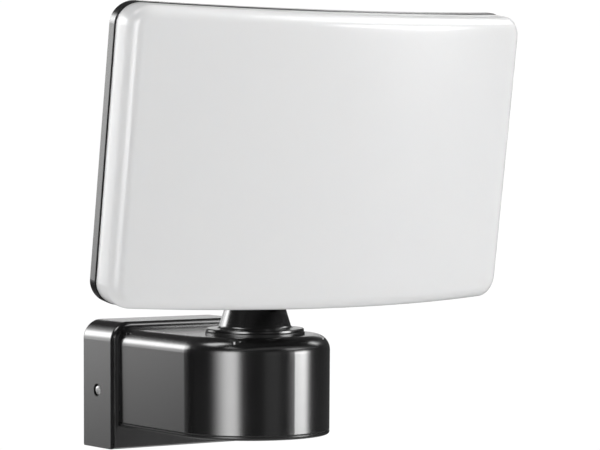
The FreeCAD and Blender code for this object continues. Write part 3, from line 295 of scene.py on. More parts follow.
def make_dust(name: str) -> bpy.types.NodeTree:
    """Builds a thin veil of dust on faces that look up.

    Args:
        name: the group's name.

    Returns:
        The group, which puts out a mask.
    """
    inputs = [("Amount", "NodeSocketFloat", 0.2), ("Scale", "NodeSocketFloat", 60.0)]
    wiring, given, end = new_group(name, "ShaderNodeTree", inputs, [("Mask", "NodeSocketFloat")])
    normal = wiring.add("ShaderNodeNewGeometry").outputs["Normal"]
    up = wiring.add("ShaderNodeSeparateXYZ", {0: normal}).outputs["Z"]
    lying = wiring.ramp(up, 0.55, 1.0)
    cloud = wiring.ramp(wiring.noise(given["Scale"], 8.0, 0.7), 0.35, 0.75)
    specks = wiring.ramp(wiring.noise(wiring.maths("MULTIPLY", given["Scale"], 40.0), 2.0), 0.6, 0.75)
    amount = wiring.maths("MULTIPLY", lying, given["Amount"])
    mask = wiring.maths("MULTIPLY", wiring.maths("MULTIPLY_ADD", specks, 0.8, cloud), amount)
    wiring.feed(end, {"Mask": mask})
    return wiring.tree


def make_scratches(name: str) -> bpy.types.NodeTree:
    """Builds fine scratches that run one way, as from a brush or a driver bit.

    Args:
        name: the group's name.

    Returns:
        The group, which puts out a height and a mask.
    """
    inputs = [
        ("Scale", "NodeSocketFloat", 300.0),
        ("Stretch", "NodeSocketVector", (1.0, 0.08, 1.0)),
    ]
    outputs = [("Height", "NodeSocketFloat"), ("Mask", "NodeSocketFloat")]
    wiring, given, end = new_group(name, "ShaderNodeTree", inputs, outputs)
    place = wiring.add("ShaderNodeTexCoord").outputs["Object"]
    drawn = wiring.add("ShaderNodeVectorMath", {0: place, 1: given["Stretch"]}, operation="MULTIPLY")
    inputs = {"Vector": drawn.outputs[0], "Scale": given["Scale"], "Detail": 4.0, "Roughness": 0.7}
    lines = wiring.add("ShaderNodeTexNoise", inputs).outputs[0]
    mask = wiring.ramp(lines, 0.55, 0.7)
    wiring.feed(end, {"Height": lines, "Mask": mask})
    return wiring.tree


def make_soft_edge(name: str) -> bpy.types.NodeTree:
    """Builds normals that turn softly over a sharp edge, as a real edge does.

    Args:
        name: the group's name.

    Returns:
        The group, which puts out a normal.
    """
    inputs = [("Radius", "NodeSocketFloat", 0.0005)]
    wiring, given, end = new_group(name, "ShaderNodeTree", inputs, [("Normal", "NodeSocketVector")])
    turned = wiring.add("ShaderNodeBevel", {"Radius": given["Radius"]}, samples=4).outputs[0]
    wiring.feed(end, {"Normal": turned})
    return wiring.tree


EFFECT_MAKERS: dict[Effect, Callable[[str], bpy.types.NodeTree]] = {
    Effect.GRAIN: make_grain,
    Effect.PATCHES: make_patches,
    Effect.WEAR: make_wear,
    Effect.DUST: make_dust,
    Effect.SCRATCHES: make_scratches,
    Effect.SOFT_EDGE: make_soft_edge,
}


# ---------------------------------------------------------------- finishes


@dataclass(frozen=True)
class Finish:
    """One surface finish, built as a node material."""

    name: str
    colour: Colour
    shade: Colour
    smooth: float
    rough: float
    patch_scale: float = 25.0
    metallic: float = 0.0
    coat: float = 0.0
    coat_roughness: float = 0.15
    grain_scale: float = 900.0
    grain_depth: float = 0.00002
    coarse: float = 0.3
    worn: Colour = (0.2, 0.2, 0.2)
    wear: float = 0.0
    dust: float = 0.0
    scratches: float = 0.0
    stretch: Colour = (1.0, 0.08, 1.0)
    soft_edge: float = 0.0004
    ior: float = 1.5
    subsurface: float = 0.0

    def material(self) -> bpy.types.Material:
        """Returns the finish's material, made when it is first asked for."""
        made = bpy.data.materials.get(self.name)
        return made or self.build()

    def build(self) -> bpy.types.Material:
        """Builds the material.

        Returns:
            The material.
        """
        made = bpy.data.materials.new(self.name)
        made.use_nodes = True
        wiring = Wiring(made.node_tree)
        shader = made.node_tree.nodes["Principled BSDF"]
        wiring.feed(
            shader,
            {
                "Metallic": self.metallic,
                "IOR": self.ior,
                "Coat Weight": self.coat,
                "Coat Roughness": self.coat_roughness,
                "Subsurface Weight": self.subsurface,
                "Subsurface Radius": (1.0, 0.95, 0.9),
                "Subsurface Scale": 0.004,
            },
        )
        patches = self.effect(
            wiring,
            Effect.PATCHES,
            {"Scale": self.patch_scale, "Low": self.smooth, "High": self.rough},
        )
        colour = wiring.blend(patches.outputs["Mask"], self.colour, self.shade)
        roughness = patches.outputs["Value"]
        grain = self.effect(wiring, Effect.GRAIN, {"Scale": self.grain_scale, "Coarse": self.coarse})
        height = grain.outputs["Height"]
        if self.scratches:
            lines = self.effect(wiring, Effect.SCRATCHES, {"Stretch": self.stretch})
            height = wiring.maths("MULTIPLY_ADD", lines.outputs["Height"], self.scratches, height)
            rise = wiring.maths("MULTIPLY", lines.outputs["Mask"], 0.25 * self.scratches)
            roughness = wiring.maths("ADD", roughness, rise)
        if self.wear:
            rubbed = self.effect(wiring, Effect.WEAR, {"Amount": self.wear}).outputs["Mask"]
            colour = wiring.blend(rubbed, colour, self.worn)
            roughness = wiring.maths("MULTIPLY_ADD", rubbed, 0.15, roughness)
        if self.dust:
            veil = self.effect(wiring, Effect.DUST, {"Amount": self.dust}).outputs["Mask"]
            colour = wiring.blend(veil, colour, (0.42, 0.4, 0.37))
            roughness = wiring.maths("MULTIPLY_ADD", veil, 0.5, roughness)
        edge = self.effect(wiring, Effect.SOFT_EDGE, {"Radius": self.soft_edge}).outputs["Normal"]
        bump = {"Strength": 1.0, "Distance": self.grain_depth, "Height": height, "Normal": edge}
        wiring.feed(
            shader,
            {
                "Base Color": colour,
                "Roughness": roughness,
                "Normal": wiring.add("ShaderNodeBump", bump).outputs["Normal"],
            },
        )
        return made

    @staticmethod
    def effect(
        wiring: Wiring, which: Effect, inputs: dict[str | int, object]
    ) -> bpy.types.Node:
        """Places an effect's group in a material.

        Args:
            wiring: the material's wiring.
            which: the effect.
            inputs: the effect's own values here.

        Returns:
            The group's node.
        """
        node = wiring.add("ShaderNodeGroup", {}, node_tree=which.tree())
        wiring.feed(node, inputs)
        return node


BLACK_PAINT = Finish(
    "black_paint",
    colour=(0.006, 0.006, 0.0062),
    shade=(0.008, 0.008, 0.0082),
    smooth=0.2,
    rough=0.24,
    coat=1.0,
    coat_roughness=0.2,
    grain_scale=700.0,
    grain_depth=0.000012,
    worn=(0.05, 0.05, 0.052),
    wear=0.35,
    dust=0.02,
)
BLACK_PLASTIC = Finish(
    "black_plastic",
    colour=(0.010, 0.010, 0.0105),
    shade=(0.013, 0.013, 0.0135),
    smooth=0.32,
    rough=0.42,
    grain_scale=1400.0,
    grain_depth=0.00002,
    worn=(0.05, 0.05, 0.052),
    wear=0.25,
    dust=0.03,
)
OPAL = Finish(
    "opal_plastic",
    colour=(0.87, 0.87, 0.87),
    shade=(0.86, 0.86, 0.862),
    smooth=0.16,
    rough=0.21,
    patch_scale=12.0,
    coat=0.08,
    coat_roughness=0.08,
    grain_scale=160.0,
    grain_depth=0.000004,
    coarse=1.0,
    soft_edge=0.0003,
    subsurface=0.25,
)
STAINLESS = Finish(
    "stainless",
    colour=(0.56, 0.55, 0.54),
    shade=(0.47, 0.465, 0.46),
    smooth=0.24,
    rough=0.38,
    patch_scale=400.0,
    metallic=1.0,
    grain_scale=3000.0,
    grain_depth=0.000006,
    worn=(0.75, 0.75, 0.75),
    wear=0.4,
    scratches=0.6,
    soft_edge=0.0001,
)
ZINC = Finish(
    "zinc_plate",
    colour=(0.6, 0.61, 0.63),
    shade=(0.46, 0.475, 0.5),
    smooth=0.3,
    rough=0.5,
    patch_scale=220.0,
    metallic=1.0,
    grain_scale=1800.0,
    grain_depth=0.00001,
    worn=(0.7, 0.7, 0.7),
    wear=0.4,
    scratches=0.4,
    soft_edge=0.0002,
)
BRASS = Finish(
    "brass",
    colour=(0.72, 0.52, 0.22),
    shade=(0.6, 0.41, 0.16),
    smooth=0.25,
    rough=0.4,
    patch_scale=500.0,
    metallic=1.0,
    grain_scale=3000.0,
    grain_depth=0.000008,
    worn=(0.85, 0.7, 0.4),
    wear=0.3,
    scratches=0.5,
    soft_edge=0.0001,
)
RUBBER = Finish(
    "rubber",
    colour=(0.016, 0.016, 0.016),
    shade=(0.024, 0.024, 0.024),
    smooth=0.62,
    rough=0.78,
    patch_scale=150.0,
    grain_scale=2600.0,
    grain_depth=0.00002,
    dust=0.1,
)
SILICONE = Finish(
    "pale_silicone",
    colour=(0.62, 0.62, 0.61),
    shade=(0.54, 0.54, 0.53),
    smooth=0.42,
    rough=0.58,
    patch_scale=150.0,
    grain_scale=2200.0,
    grain_depth=0.00001,
    subsurface=0.2,
)
FOAM = Finish(
    "foam_rubber",
    colour=(0.022, 0.022, 0.023),
    shade=(0.04, 0.04, 0.041),
    smooth=0.85,
    rough=0.98,
    patch_scale=900.0,
    grain_scale=1300.0,
    grain_depth=0.00025,
)
WHITE_PLASTIC = Finish(
    "white_moulding",
    colour=(0.76, 0.75, 0.72),
    shade=(0.7, 0.69, 0.66),
    smooth=0.38,
    rough=0.5,
    grain_scale=1500.0,
    grain_depth=0.00001,
    worn=(0.85, 0.84, 0.82),
    wear=0.15,
    subsurface=0.1,
)
WHITE_SHEET = Finish(
    "white_sheet",
    colour=(0.78, 0.78, 0.77),
    shade=(0.72, 0.72, 0.71),
    smooth=0.3,
    rough=0.42,
    grain_scale=800.0,
    grain_depth=0.00002,
    worn=(0.55, 0.55, 0.56),
    wear=0.5,
)
SOLDER_MASK = Finish(
    "solder_mask",
    colour=(0.8, 0.81, 0.8),
    shade=(0.74, 0.76, 0.75),
    smooth=0.2,
    rough=0.32,
    patch_scale=300.0,
    coat=0.3,
    grain_scale=2000.0,
    grain_depth=0.00001,
    worn=(0.5, 0.42, 0.3),
    wear=0.5,
)
PHOSPHOR = Finish(
    "led_phosphor",
    colour=(0.85, 0.66, 0.12),
    shade=(0.8, 0.58, 0.08),
    smooth=0.25,
    rough=0.4,
    patch_scale=2500.0,
    coat=0.5,
    grain_scale=5000.0,
    grain_depth=0.00001,
    subsurface=0.2,
)

SLOT_FINISHES: dict[str, Finish] = {
    "black_casting": BLACK_PAINT,
    "black_plastic": BLACK_PLASTIC,
    "opal": OPAL,
    "stainless": STAINLESS,
    "zinc_steel": ZINC,
    "brass_screw": BRASS,
    "rubber": RUBBER,
    "foam": FOAM,
    "white_plastic": WHITE_PLASTIC,
    "white_aluminium": WHITE_SHEET,
    "white_board": SOLDER_MASK,
    "led_phosphor": PHOSPHOR,
}
NODE_FINISHES: dict[str, Finish] = {"diffuser_gasket": SILICONE}


# ---------------------------------------------------------------- mesh making


def circle_points(radius: float, height: float, sides: int) -> list[Vector]:
    """Lays points on a circle about Z.

    Args:
        radius: the circle's radius.
        height: its height.
        sides: the number of points.

    Returns:
        The points, the first one on X.
    """
    angles = [2 * math.pi * side / sides for side in range(sides)]
    return [Vector((radius * math.cos(a), radius * math.sin(a), height)) for a in angles]


def box_corners(half_x: float, half_y: float, height: float) -> list[Vector]:
    """Lays the four corners of a rectangle about Z.

    Args:
        half_x: half its size along X.
        half_y: half its size along Y.
        height: its height.

    Returns:
        The corners, in order.
    """
    corners = [(-half_x, -half_y), (half_x, -half_y), (half_x, half_y), (-half_x, half_y)]
    return [Vector((x, y, height)) for x, y in corners]


class Shell:
    """A mesh while it is being made of rings, in its own or the row's frame."""

    def __init__(self) -> None:
        """Starts an empty mesh."""
        self.mesh = bmesh.new()

    def ring(self, points: Sequence[Vector]) -> list[bmesh.types.BMVert]:
        """Adds a ring of vertices.

        Args:
            points: the ring's points, in order.

        Returns:
            The new vertices.
        """
        return [self.mesh.verts.new(point) for point in points]

    def skin(self, rings: Sequence[list[bmesh.types.BMVert]]) -> None:
        """Joins closed rings, each to the next, with quads.

        Args:
            rings: rings with the same number of vertices.
        """
        for lower, upper in zip(rings, rings[1:]):
            count = len(lower)
            for index in range(count):
                after = (index + 1) % count
                self.mesh.faces.new((lower[index], lower[after], upper[after], upper[index]))

    def turn(self, profile: Sequence[Point], sides: int) -> None:
        """Turns a profile about Z; its ends on the axis are closed.

        Args:
            profile: radius and height of each point, from one end to the other.
            sides: the number of sides.
        """
        self.skin([self.ring(circle_points(radius, height, sides)) for radius, height in profile])

    def prism(self, rings: Sequence[Sequence[Vector]]) -> None:
        """Skins rings of points and closes both ends.

        Args:
            rings: the points of each ring, from one end to the other.
        """
        made = [self.ring(points) for points in rings]
        self.skin(made)
        self.mesh.faces.new(made[0])
        self.mesh.faces.new(made[-1])

    def finished(self, name: str, sharp: float = 32.0) -> bpy.types.Object:
        """Closes the mesh and makes its object.

        Args:
            name: the object's name.
            sharp: edges that turn by more degrees than this stay sharp.

        Returns:
            The object, linked to the scene.
        """
        bmesh.ops.remove_doubles(self.mesh, verts=self.mesh.verts, dist=SAME_POINT)
        bmesh.ops.dissolve_degenerate(self.mesh, edges=self.mesh.edges, dist=SAME_POINT)
        bmesh.ops.recalc_face_normals(self.mesh, faces=self.mesh.faces)
        mesh = bpy.data.meshes.new(name)
        self.mesh.to_mesh(mesh)
        self.mesh.free()
        mesh.shade_smooth()
        mesh.set_sharp_from_angle(angle=math.radians(sharp))
        return linked(name, mesh)


def linked(name: str, data: bpy.types.ID | None) -> bpy.types.Object:
    """Makes an object in the scene.

    Args:
        name: the object's name.
        data: its mesh, camera or light.

    Returns:
        The object.
    """
    made = bpy.data.objects.new(name, data)
    bpy.context.scene.collection.objects.link(made)
    return made


def evaluated_copy(thing: bpy.types.Object, name: str) -> bpy.types.Object:
    """Turns an object's evaluated shape into a plain mesh and drops the object.

    Args:
        thing: an object with modifiers.
        name: the new object's name.

    Returns:
        The plain object.
    """
    graph = bpy.context.evaluated_depsgraph_get()
    mesh = bpy.data.meshes.new_from_object(thing.evaluated_get(graph), depsgraph=graph)
    mesh.name = name
    bpy.data.objects.remove(thing)
    return linked(name, mesh)


def carved(
    body: bpy.types.Object, tool: bpy.types.Object, operation: str, name: str
) -> bpy.types.Object:
    """Cuts one mesh with another.

    Args:
        body: what is cut.
        tool: what cuts it; it is dropped afterwards.
        operation: DIFFERENCE or INTERSECT.
        name: the new object's name.

    Returns:
        The cut object.
    """
    cutter = body.modifiers.new("cut", "BOOLEAN")
    cutter.operation = operation
    cutter.solver = "EXACT"
    cutter.object = tool
    made = evaluated_copy(body, name)
    bpy.data.objects.remove(tool)
    made.data.shade_smooth()
    made.data.set_sharp_from_angle(angle=math.radians(CARVED_SHARP))
    return made


def solids_of(node: str) -> list[np.ndarray]:
    """Finds the separate solids of a CAD node.

    Args:
        node: the node's name.

    Returns:
        Each solid's points, ordered by place.
    """
    work = bmesh.new()
    work.from_mesh(bpy.data.objects[node].data)
    bmesh.ops.remove_doubles(work, verts=work.verts, dist=SAME_CAD_POINT)
    left, solids = set(work.verts), []
    while left:
        edge = [left.pop()]
        points = []
        while edge:
            vert = edge.pop()
            points.append(tuple(vert.co))
            for link in vert.link_edges:
                other = link.other_vert(vert)
                if other in left:
                    left.remove(other)
                    edge.append(other)
        solids.append(np.array(points))
    work.free()
    return sorted(solids, key=lambda points: tuple(np.round(points.mean(axis=0), 5)))


def ends_of(points: np.ndarray, outward: Vector) -> tuple[Vector, Vector, float]:
    """Finds a turned solid's axis and ends.

    Args:
        points: the solid's points.
        outward: roughly the way that its first end looks.

    Returns:
        The middle of its outer end, the axis towards it, and the length.
    """
    middle = points.mean(axis=0)
    spread = np.linalg.eigh(np.cov((points - middle).T))[1]
    near = int(np.argmax(np.abs(spread.T @ np.array(outward))))
    axis = spread[:, near]
    if axis @ np.array(outward) < 0:
        axis = -axis
    along = (points - middle) @ axis
    centre = middle + axis * along.max()
    return Vector(centre), Vector(axis), float(along.max() - along.min())


# ---------------------------------------------------------------- things that repeat


def repeat_tree() -> bpy.types.NodeTree:
    """Builds the tree that sets one part at many places, each turned to its own axis.

    Returns:
        The geometry node tree.
    """
    name = "set_of_parts"
    made = bpy.data.node_groups.get(name)
    if made:
        return made
    inputs = [
        ("Places", "NodeSocketGeometry", None),
        ("Part", "NodeSocketObject", None),
        ("Finish", "NodeSocketMaterial", None),
        ("Second Finish", "NodeSocketMaterial", None),
        ("Largest Turn", "NodeSocketFloat", 0.0),
        ("Seed", "NodeSocketInt", 7),
    ]
    wiring, given, end = new_group(
        name, "GeometryNodeTree", inputs, [("Parts", "NodeSocketGeometry")]
    )
    part = wiring.add("GeometryNodeObjectInfo", {"Object": given["Part"]}).outputs["Geometry"]
    axis = wiring.add(
        "GeometryNodeInputNamedAttribute", {"Name": "axis"}, data_type="FLOAT_VECTOR"
    ).outputs["Attribute"]
    facing = wiring.add("FunctionNodeAlignRotationToVector", {"Vector": axis}, axis="Z")
    placed = wiring.add(
        "GeometryNodeInstanceOnPoints",
        {"Points": given["Places"], "Instance": part, "Rotation": facing.outputs["Rotation"]},
    )
    turn = wiring.add(
        "FunctionNodeRandomValue",
        {"Min": 0.0, "Max": 1.0, "Seed": given["Seed"]},
        data_type="FLOAT",
    )
    share = [socket for socket in turn.outputs if socket.enabled][-1]
    angle = wiring.maths("MULTIPLY", share, given["Largest Turn"])
    spin = wiring.add("ShaderNodeCombineXYZ", {"Z": angle})
    turned = wiring.add(
        "GeometryNodeRotateInstances",
        {"Instances": placed.outputs[0], "Rotation": spin.outputs[0], "Local Space": True},
    )
    real = wiring.add("GeometryNodeRealizeInstances", {"Geometry": turned.outputs[0]})
    second = wiring.add(
        "GeometryNodeInputNamedAttribute", {"Name": "second"}, data_type="BOOLEAN"
    ).outputs["Attribute"]
    first = wiring.add(
        "GeometryNodeSetMaterial", {"Geometry": real.outputs[0], "Material": given["Finish"]}
    )
    dressed = wiring.add(
        "GeometryNodeSetMaterial",
        {
            "Geometry": first.outputs[0],
            "Selection": second,
            "Material": given["Second Finish"],
        },
    )
    wiring.feed(end, {"Parts": dressed.outputs[0]})
    return wiring.tree


@dataclass
class RepeatedPart:
    """A small part that stands at several places of one CAD node."""

    node: str
    body: str
    slot: str
    finish: Finish
    outward: Vector
    second: Finish | None = None
    largest_turn: float = math.pi / 2
    seed: int = 7
    mirrored: bool = False

    def build(self, make_part: Callable[[float], bpy.types.Object]) -> bpy.types.Object:
        """Sets the part at each of the node's solids.

        Args:
            make_part: makes the part for a length, its outer end at the origin and looking up Z.

        Returns:
            The piece, which stands for the node.
        """
        found = [ends_of(points, self.outward_at(points)) for points in solids_of(self.node)]
        part = make_part(sum(length for _, _, length in found) / len(found))
        points = bpy.data.meshes.new("places")
        points.from_pydata([tuple(centre) for centre, _, _ in found], [], [])
        axes = points.attributes.new("axis", "FLOAT_VECTOR", "POINT")
        for index, (_, axis, _) in enumerate(found):
            axes.data[index].vector = axis
        holder = linked(f"{self.node}_places", points)
        tree = repeat_tree()
        maker = holder.modifiers.new("set of parts", "NODES")
        maker.node_group = tree
        names = {item.name: item.identifier for item in tree.interface.items_tree}
        given = {
            "Part": part,
            "Finish": self.finish.material(),
            "Second Finish": (self.second or self.finish).material(),
            "Largest Turn": self.largest_turn,
            "Seed": self.seed,
        }
        for title, value in given.items():
            maker[names[title]] = value
        piece = evaluated_copy(holder, f"{self.node}_detailed")
        bpy.data.objects.remove(part)
        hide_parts(self.node)
        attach(piece, self.body)
        LOG.info("%s: %d on %s", piece.name, len(found), self.body)
        return piece

    def outward_at(self, points: np.ndarray) -> Vector:
        """Finds which way a solid's outer end looks.

        Args:
            points: the solid's points.

        Returns:
            The way out, turned round on the far side of the middle when the set is mirrored.
        """
        beyond = points.mean(axis=0) @ np.array(self.outward) < 0
        return -self.outward if self.mirrored and beyond else self.outward


@dataclass
class PanScrew:
    """A pan-head screw with a cross recess and a rolled thread."""

    head: float
    head_high: float
    shank: float
    pitch: float = 1.2 * MM
    sides: int = 24
    dome_share: float = 0.62
    dome_steps: int = 6
    dome_drop: float = 0.04 * MM
    rim: float = 0.2 * MM
    rim_in: float = 0.15 * MM
    root_share: float = 0.78
    point: float = 0.3 * MM
    blade_share: float = 0.62
    blade_past: float = 0.3 * MM

    def profile(self, length: float) -> list[Point]:
        """Draws half the screw's section.

        Args:
            length: the whole length, head included.

        Returns:
            Radius and height of each point, from the top of the head down.
        """
        top = self.head * 0.45
        points: list[Point] = [(0.0, 0.0), (top * 0.5, 0.0), (top, -self.dome_drop)]
        side = self.head_high * self.dome_share
        for step in range(1, self.dome_steps + 1):
            angle = math.pi / 2 * step / self.dome_steps
            reach = top + (self.head - top) * math.sin(angle)
            points.append((reach, -side * (1 - math.cos(angle)) - self.dome_drop))
        points += [
            (self.head, -self.head_high + self.rim),
            (self.head - self.rim_in, -self.head_high),
            (self.shank, -self.head_high),
        ]
        root = self.shank * self.root_share
        height = -self.head_high - self.pitch * 0.5
        tip = -length
        while height > tip + self.pitch * 1.6:
            points += [
                (root, height),
                (root, height - self.pitch * 0.45),
                (self.shank, height - self.pitch * 0.7),
                (self.shank * 0.99, height - self.pitch * 0.8),
            ]
            height -= self.pitch
        points += [(root, height), (root * 0.9, tip + self.point), (root * 0.6, tip), (0.0, tip)]
        return points

    def make(self, length: float) -> bpy.types.Object:
        """Makes the screw.

        Args:
            length: the whole length, head included.

        Returns:
            The screw, the top of its head at the origin.
        """
        shell = Shell()
        shell.turn(self.profile(length), self.sides)
        screw = shell.finished("screw_blank")
        for turn in (0.0, math.pi / 2):
            screw = carved(screw, self.blade(turn), "DIFFERENCE", "screw_template")
        return screw

    def blade(self, turn: float) -> bpy.types.Object:
        """Makes one of the two tapered blades that cut the cross.

        Args:
            turn: the blade's angle about the screw's axis.

        Returns:
            The blade.
        """
        reach, half, deep = self.head * 0.6, self.head * 0.11, self.head_high * self.blade_share
        rows = [
            (reach, half, self.blade_past),
            (reach * 0.72, half * 0.9, -deep * 0.35),
            (half, half * 0.4, -deep),
        ]
        spin = Matrix.Rotation(turn, 3, "Z")
        shell = Shell()
        shell.prism([[spin @ corner for corner in box_corners(*row)] for row in rows])
        return shell.finished("blade")


@dataclass
class HexFastener:
    """A hexagon head or nut with chamfered corners, round a shank or a bore."""

    flats: float
    high: float
    flat_share: float = 0.97
    chamfer: float = math.radians(28.0)
    past: float = 1.0 * MM

    def make(self, name: str, bore: float = 0.0) -> bpy.types.Object:
        """Makes the hexagon.

        Args:
            name: the object's name.
            bore: the radius of the hole through it, or 0.

        Returns:
            The hexagon, its outer face at the origin and its body below.
        """
        corner = self.flats / math.sqrt(3.0)
        inner = self.flats / 2 * self.flat_share
        prism = Shell()
        prism.prism([circle_points(corner, height, 6) for height in (0.0, -self.high)])
        blank = prism.finished("hexagon_blank")
        cap = (corner - inner) * math.tan(self.chamfer)
        outside = [(0.0, 0.0), (inner, 0.0), (corner, -cap)]
        outside += [(radius, -self.high - height) for radius, height in reversed(outside)]
        rounder = Shell()
        rounder.turn(outside, 96)
        chamfered = carved(blank, rounder.finished("chamfer_tool"), "INTERSECT", name)
        if not bore:
            return chamfered
        drill = Shell()
        ends = [(0.0, self.past), (bore, self.past)]
        drill.turn(ends + [(radius, -self.high - height) for radius, height in reversed(ends)], 48)
        return carved(chamfered, drill.finished("bore_tool"), "DIFFERENCE", name)


# ---------------------------------------------------------------- sub-assemblies


@dataclass
class HeadFrame:
    """The head's own frame: origin on the tilt axis, X along it, Z up along the panel."""

    hinge: Vector
    tilt: float = math.radians(8.9)

    def matrix(self) -> Matrix:
        """Returns the turn and move from the head's frame to the row's."""
        return Matrix.Translation(self.hinge) @ Matrix.Rotation(self.tilt, 4, "X")

    def forward(self) -> Vector:
        """Returns the way that the panel looks, in the row frame."""
        return (self.matrix().to_3x3() @ Vector((0.0, -1.0, 0.0))).normalized()


@dataclass
class OpalPanel:
    """The white diffuser: a curved pillow with a deep skirt, a round front edge and a fixing lip."""

    head: HeadFrame
    half_width: float = 141.7 * MM
    low: float = -15.4 * MM
    high: float = 163.6 * MM
    curve: float = 445.0 * MM
    away: float = 64.7 * MM
    corner: float = 14.0 * MM
    inset: float = 0.5 * MM
    shelf: float = 6.5 * MM
    skirt: float = 11.9 * MM
    edge: float = 7.2 * MM
    wall: float = 2.2 * MM
    lip_inset: float = 2.9 * MM
    lip_start: float = 4.0 * MM
    break_edge: float = 0.35 * MM
    least_corner: float = 0.5 * MM
    across: int = 96
    upright: int = 36
    corner_steps: int = 14
    edge_steps: int = 12
    inner_steps: int = 6
    face_steps: int = 26

    def outline(self, inset: float) -> list[Point]:
        """Draws the panel's outline, a certain inset from the tray's.

        Args:
            inset: the distance inwards.

        Returns:
            X and height of each point, always the same number.
        """
        half, low, high = self.half_width - inset, self.low + inset, self.high - inset
        radius = max(self.corner - inset, self.least_corner)
        centres = [
            (half - radius, high - radius, 0.0),
            (radius - half, high - radius, 0.5),
            (radius - half, low + radius, 1.0),
            (half - radius, low + radius, 1.5),
        ]
        points: list[Point] = []
        for index, (x, z, start) in enumerate(centres):
            for step in range(self.corner_steps + 1):
                angle = math.pi * (start + 0.5 * step / self.corner_steps)
                points.append((x + radius * math.cos(angle), z + radius * math.sin(angle)))
            after = centres[(index + 1) % 4]
            angle = math.pi * after[2]
            goal = (after[0] + radius * math.cos(angle), after[1] + radius * math.sin(angle))
            last = points[-1]
            count = self.across if index % 2 == 0 else self.upright
            for step in range(1, count):
                share = step / count
                points.append(
                    (last[0] + (goal[0] - last[0]) * share, last[1] + (goal[1] - last[1]) * share)
                )
        return points

    def placed(self, points: Sequence[Point], depth: float) -> list[Vector]:
        """Lays outline points on the panel's arc.

        Args:
            points: X and height of each point.
            depth: the distance in front of the tray's back.

        Returns:
            The points in the row frame.
        """
        matrix = self.head.matrix()
        laid = []
        for x, z in points:
            fall = self.curve - math.sqrt(self.curve * self.curve - x * x)
            laid.append(matrix @ Vector((x, fall - self.away - depth, z)))
        return laid

    def face(self, shell: Shell, rim: Sequence[Point], depth: float) -> list[list]:
        """Adds the rings that close a face down to a line along its middle.

        Args:
            shell: the mesh.
            rim: the face's outline.
            depth: the face's depth.

        Returns:
            The rings, without the rim itself.
        """
        middle = (self.low + self.high) / 2
        spine = self.half_width - (self.high - self.low) / 2
        rings = []
        for step in range(1, self.face_steps + 1):
            share = step / self.face_steps
            points = []
            for x, z in rim:
                goal = max(-spine, min(spine, x))
                points.append((x + (goal - x) * share, z + (middle - z) * share))
            rings.append(shell.ring(self.placed(points, depth)))
        return rings

    def bend(self, inset: float, radius: float, steps: int) -> list[Point]:
        """Draws the round edge between the skirt and the face.

        Args:
            inset: the skirt's distance inwards.
            radius: the edge's radius.
            steps: the number of steps round it.

        Returns:
            Depth and inset of each row, from the end of the skirt to the face.
        """
        start = self.shelf + self.skirt
        rows = [(start, inset)]
        for step in range(1, steps + 1):
            angle = math.pi / 2 * step / steps
            rows.append((start + radius * math.sin(angle), inset + radius * (1 - math.cos(angle))))
        return rows

    def side(self, shell: Shell, rows: Sequence[Point]) -> list[list[bmesh.types.BMVert]]:
        """Skins one side of the wall, from the lip to the middle of the face.

        Args:
            shell: the mesh.
            rows: depth and inset of each row.

        Returns:
            The side's rings.
        """
        rings = [shell.ring(self.placed(self.outline(inset), depth)) for depth, inset in rows]
        depth, inset = rows[-1]
        rings += self.face(shell, self.outline(inset), depth)
        shell.skin(rings)
        return rings

    def build(self) -> bpy.types.Object:
        """Builds the diffuser as a closed shell.

        Returns:
            The piece.
        """
        shell = Shell()
        bevel = self.break_edge
        rows = [
            (self.lip_start, self.lip_inset),
            (self.shelf, self.lip_inset),
            (self.shelf, self.inset + bevel),
            (self.shelf + bevel * 0.3, self.inset + bevel * 0.3),
            (self.shelf + bevel, self.inset),
            (self.shelf + self.skirt * 0.5, self.inset),
        ]
        rows += self.bend(self.inset, self.edge, self.edge_steps)
        outer = self.side(shell, rows)

        inside = self.inset + self.wall
        rows = [
            (self.lip_start, self.lip_inset + self.wall),
            (self.shelf + self.wall, self.lip_inset + self.wall),
            (self.shelf + self.wall, inside),
        ]
        rows += self.bend(inside, self.edge - self.wall, self.inner_steps)
        inner = self.side(shell, rows)
        shell.skin([outer[0], inner[0]])
        piece = shell.finished("opal_diffuser", sharp=40.0)
        piece.data.materials.append(OPAL.material())
        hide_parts("diffuser")
        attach(piece, "head")
        LOG.info("%s: %d faces on head", piece.name, len(piece.data.polygons))
        return piece


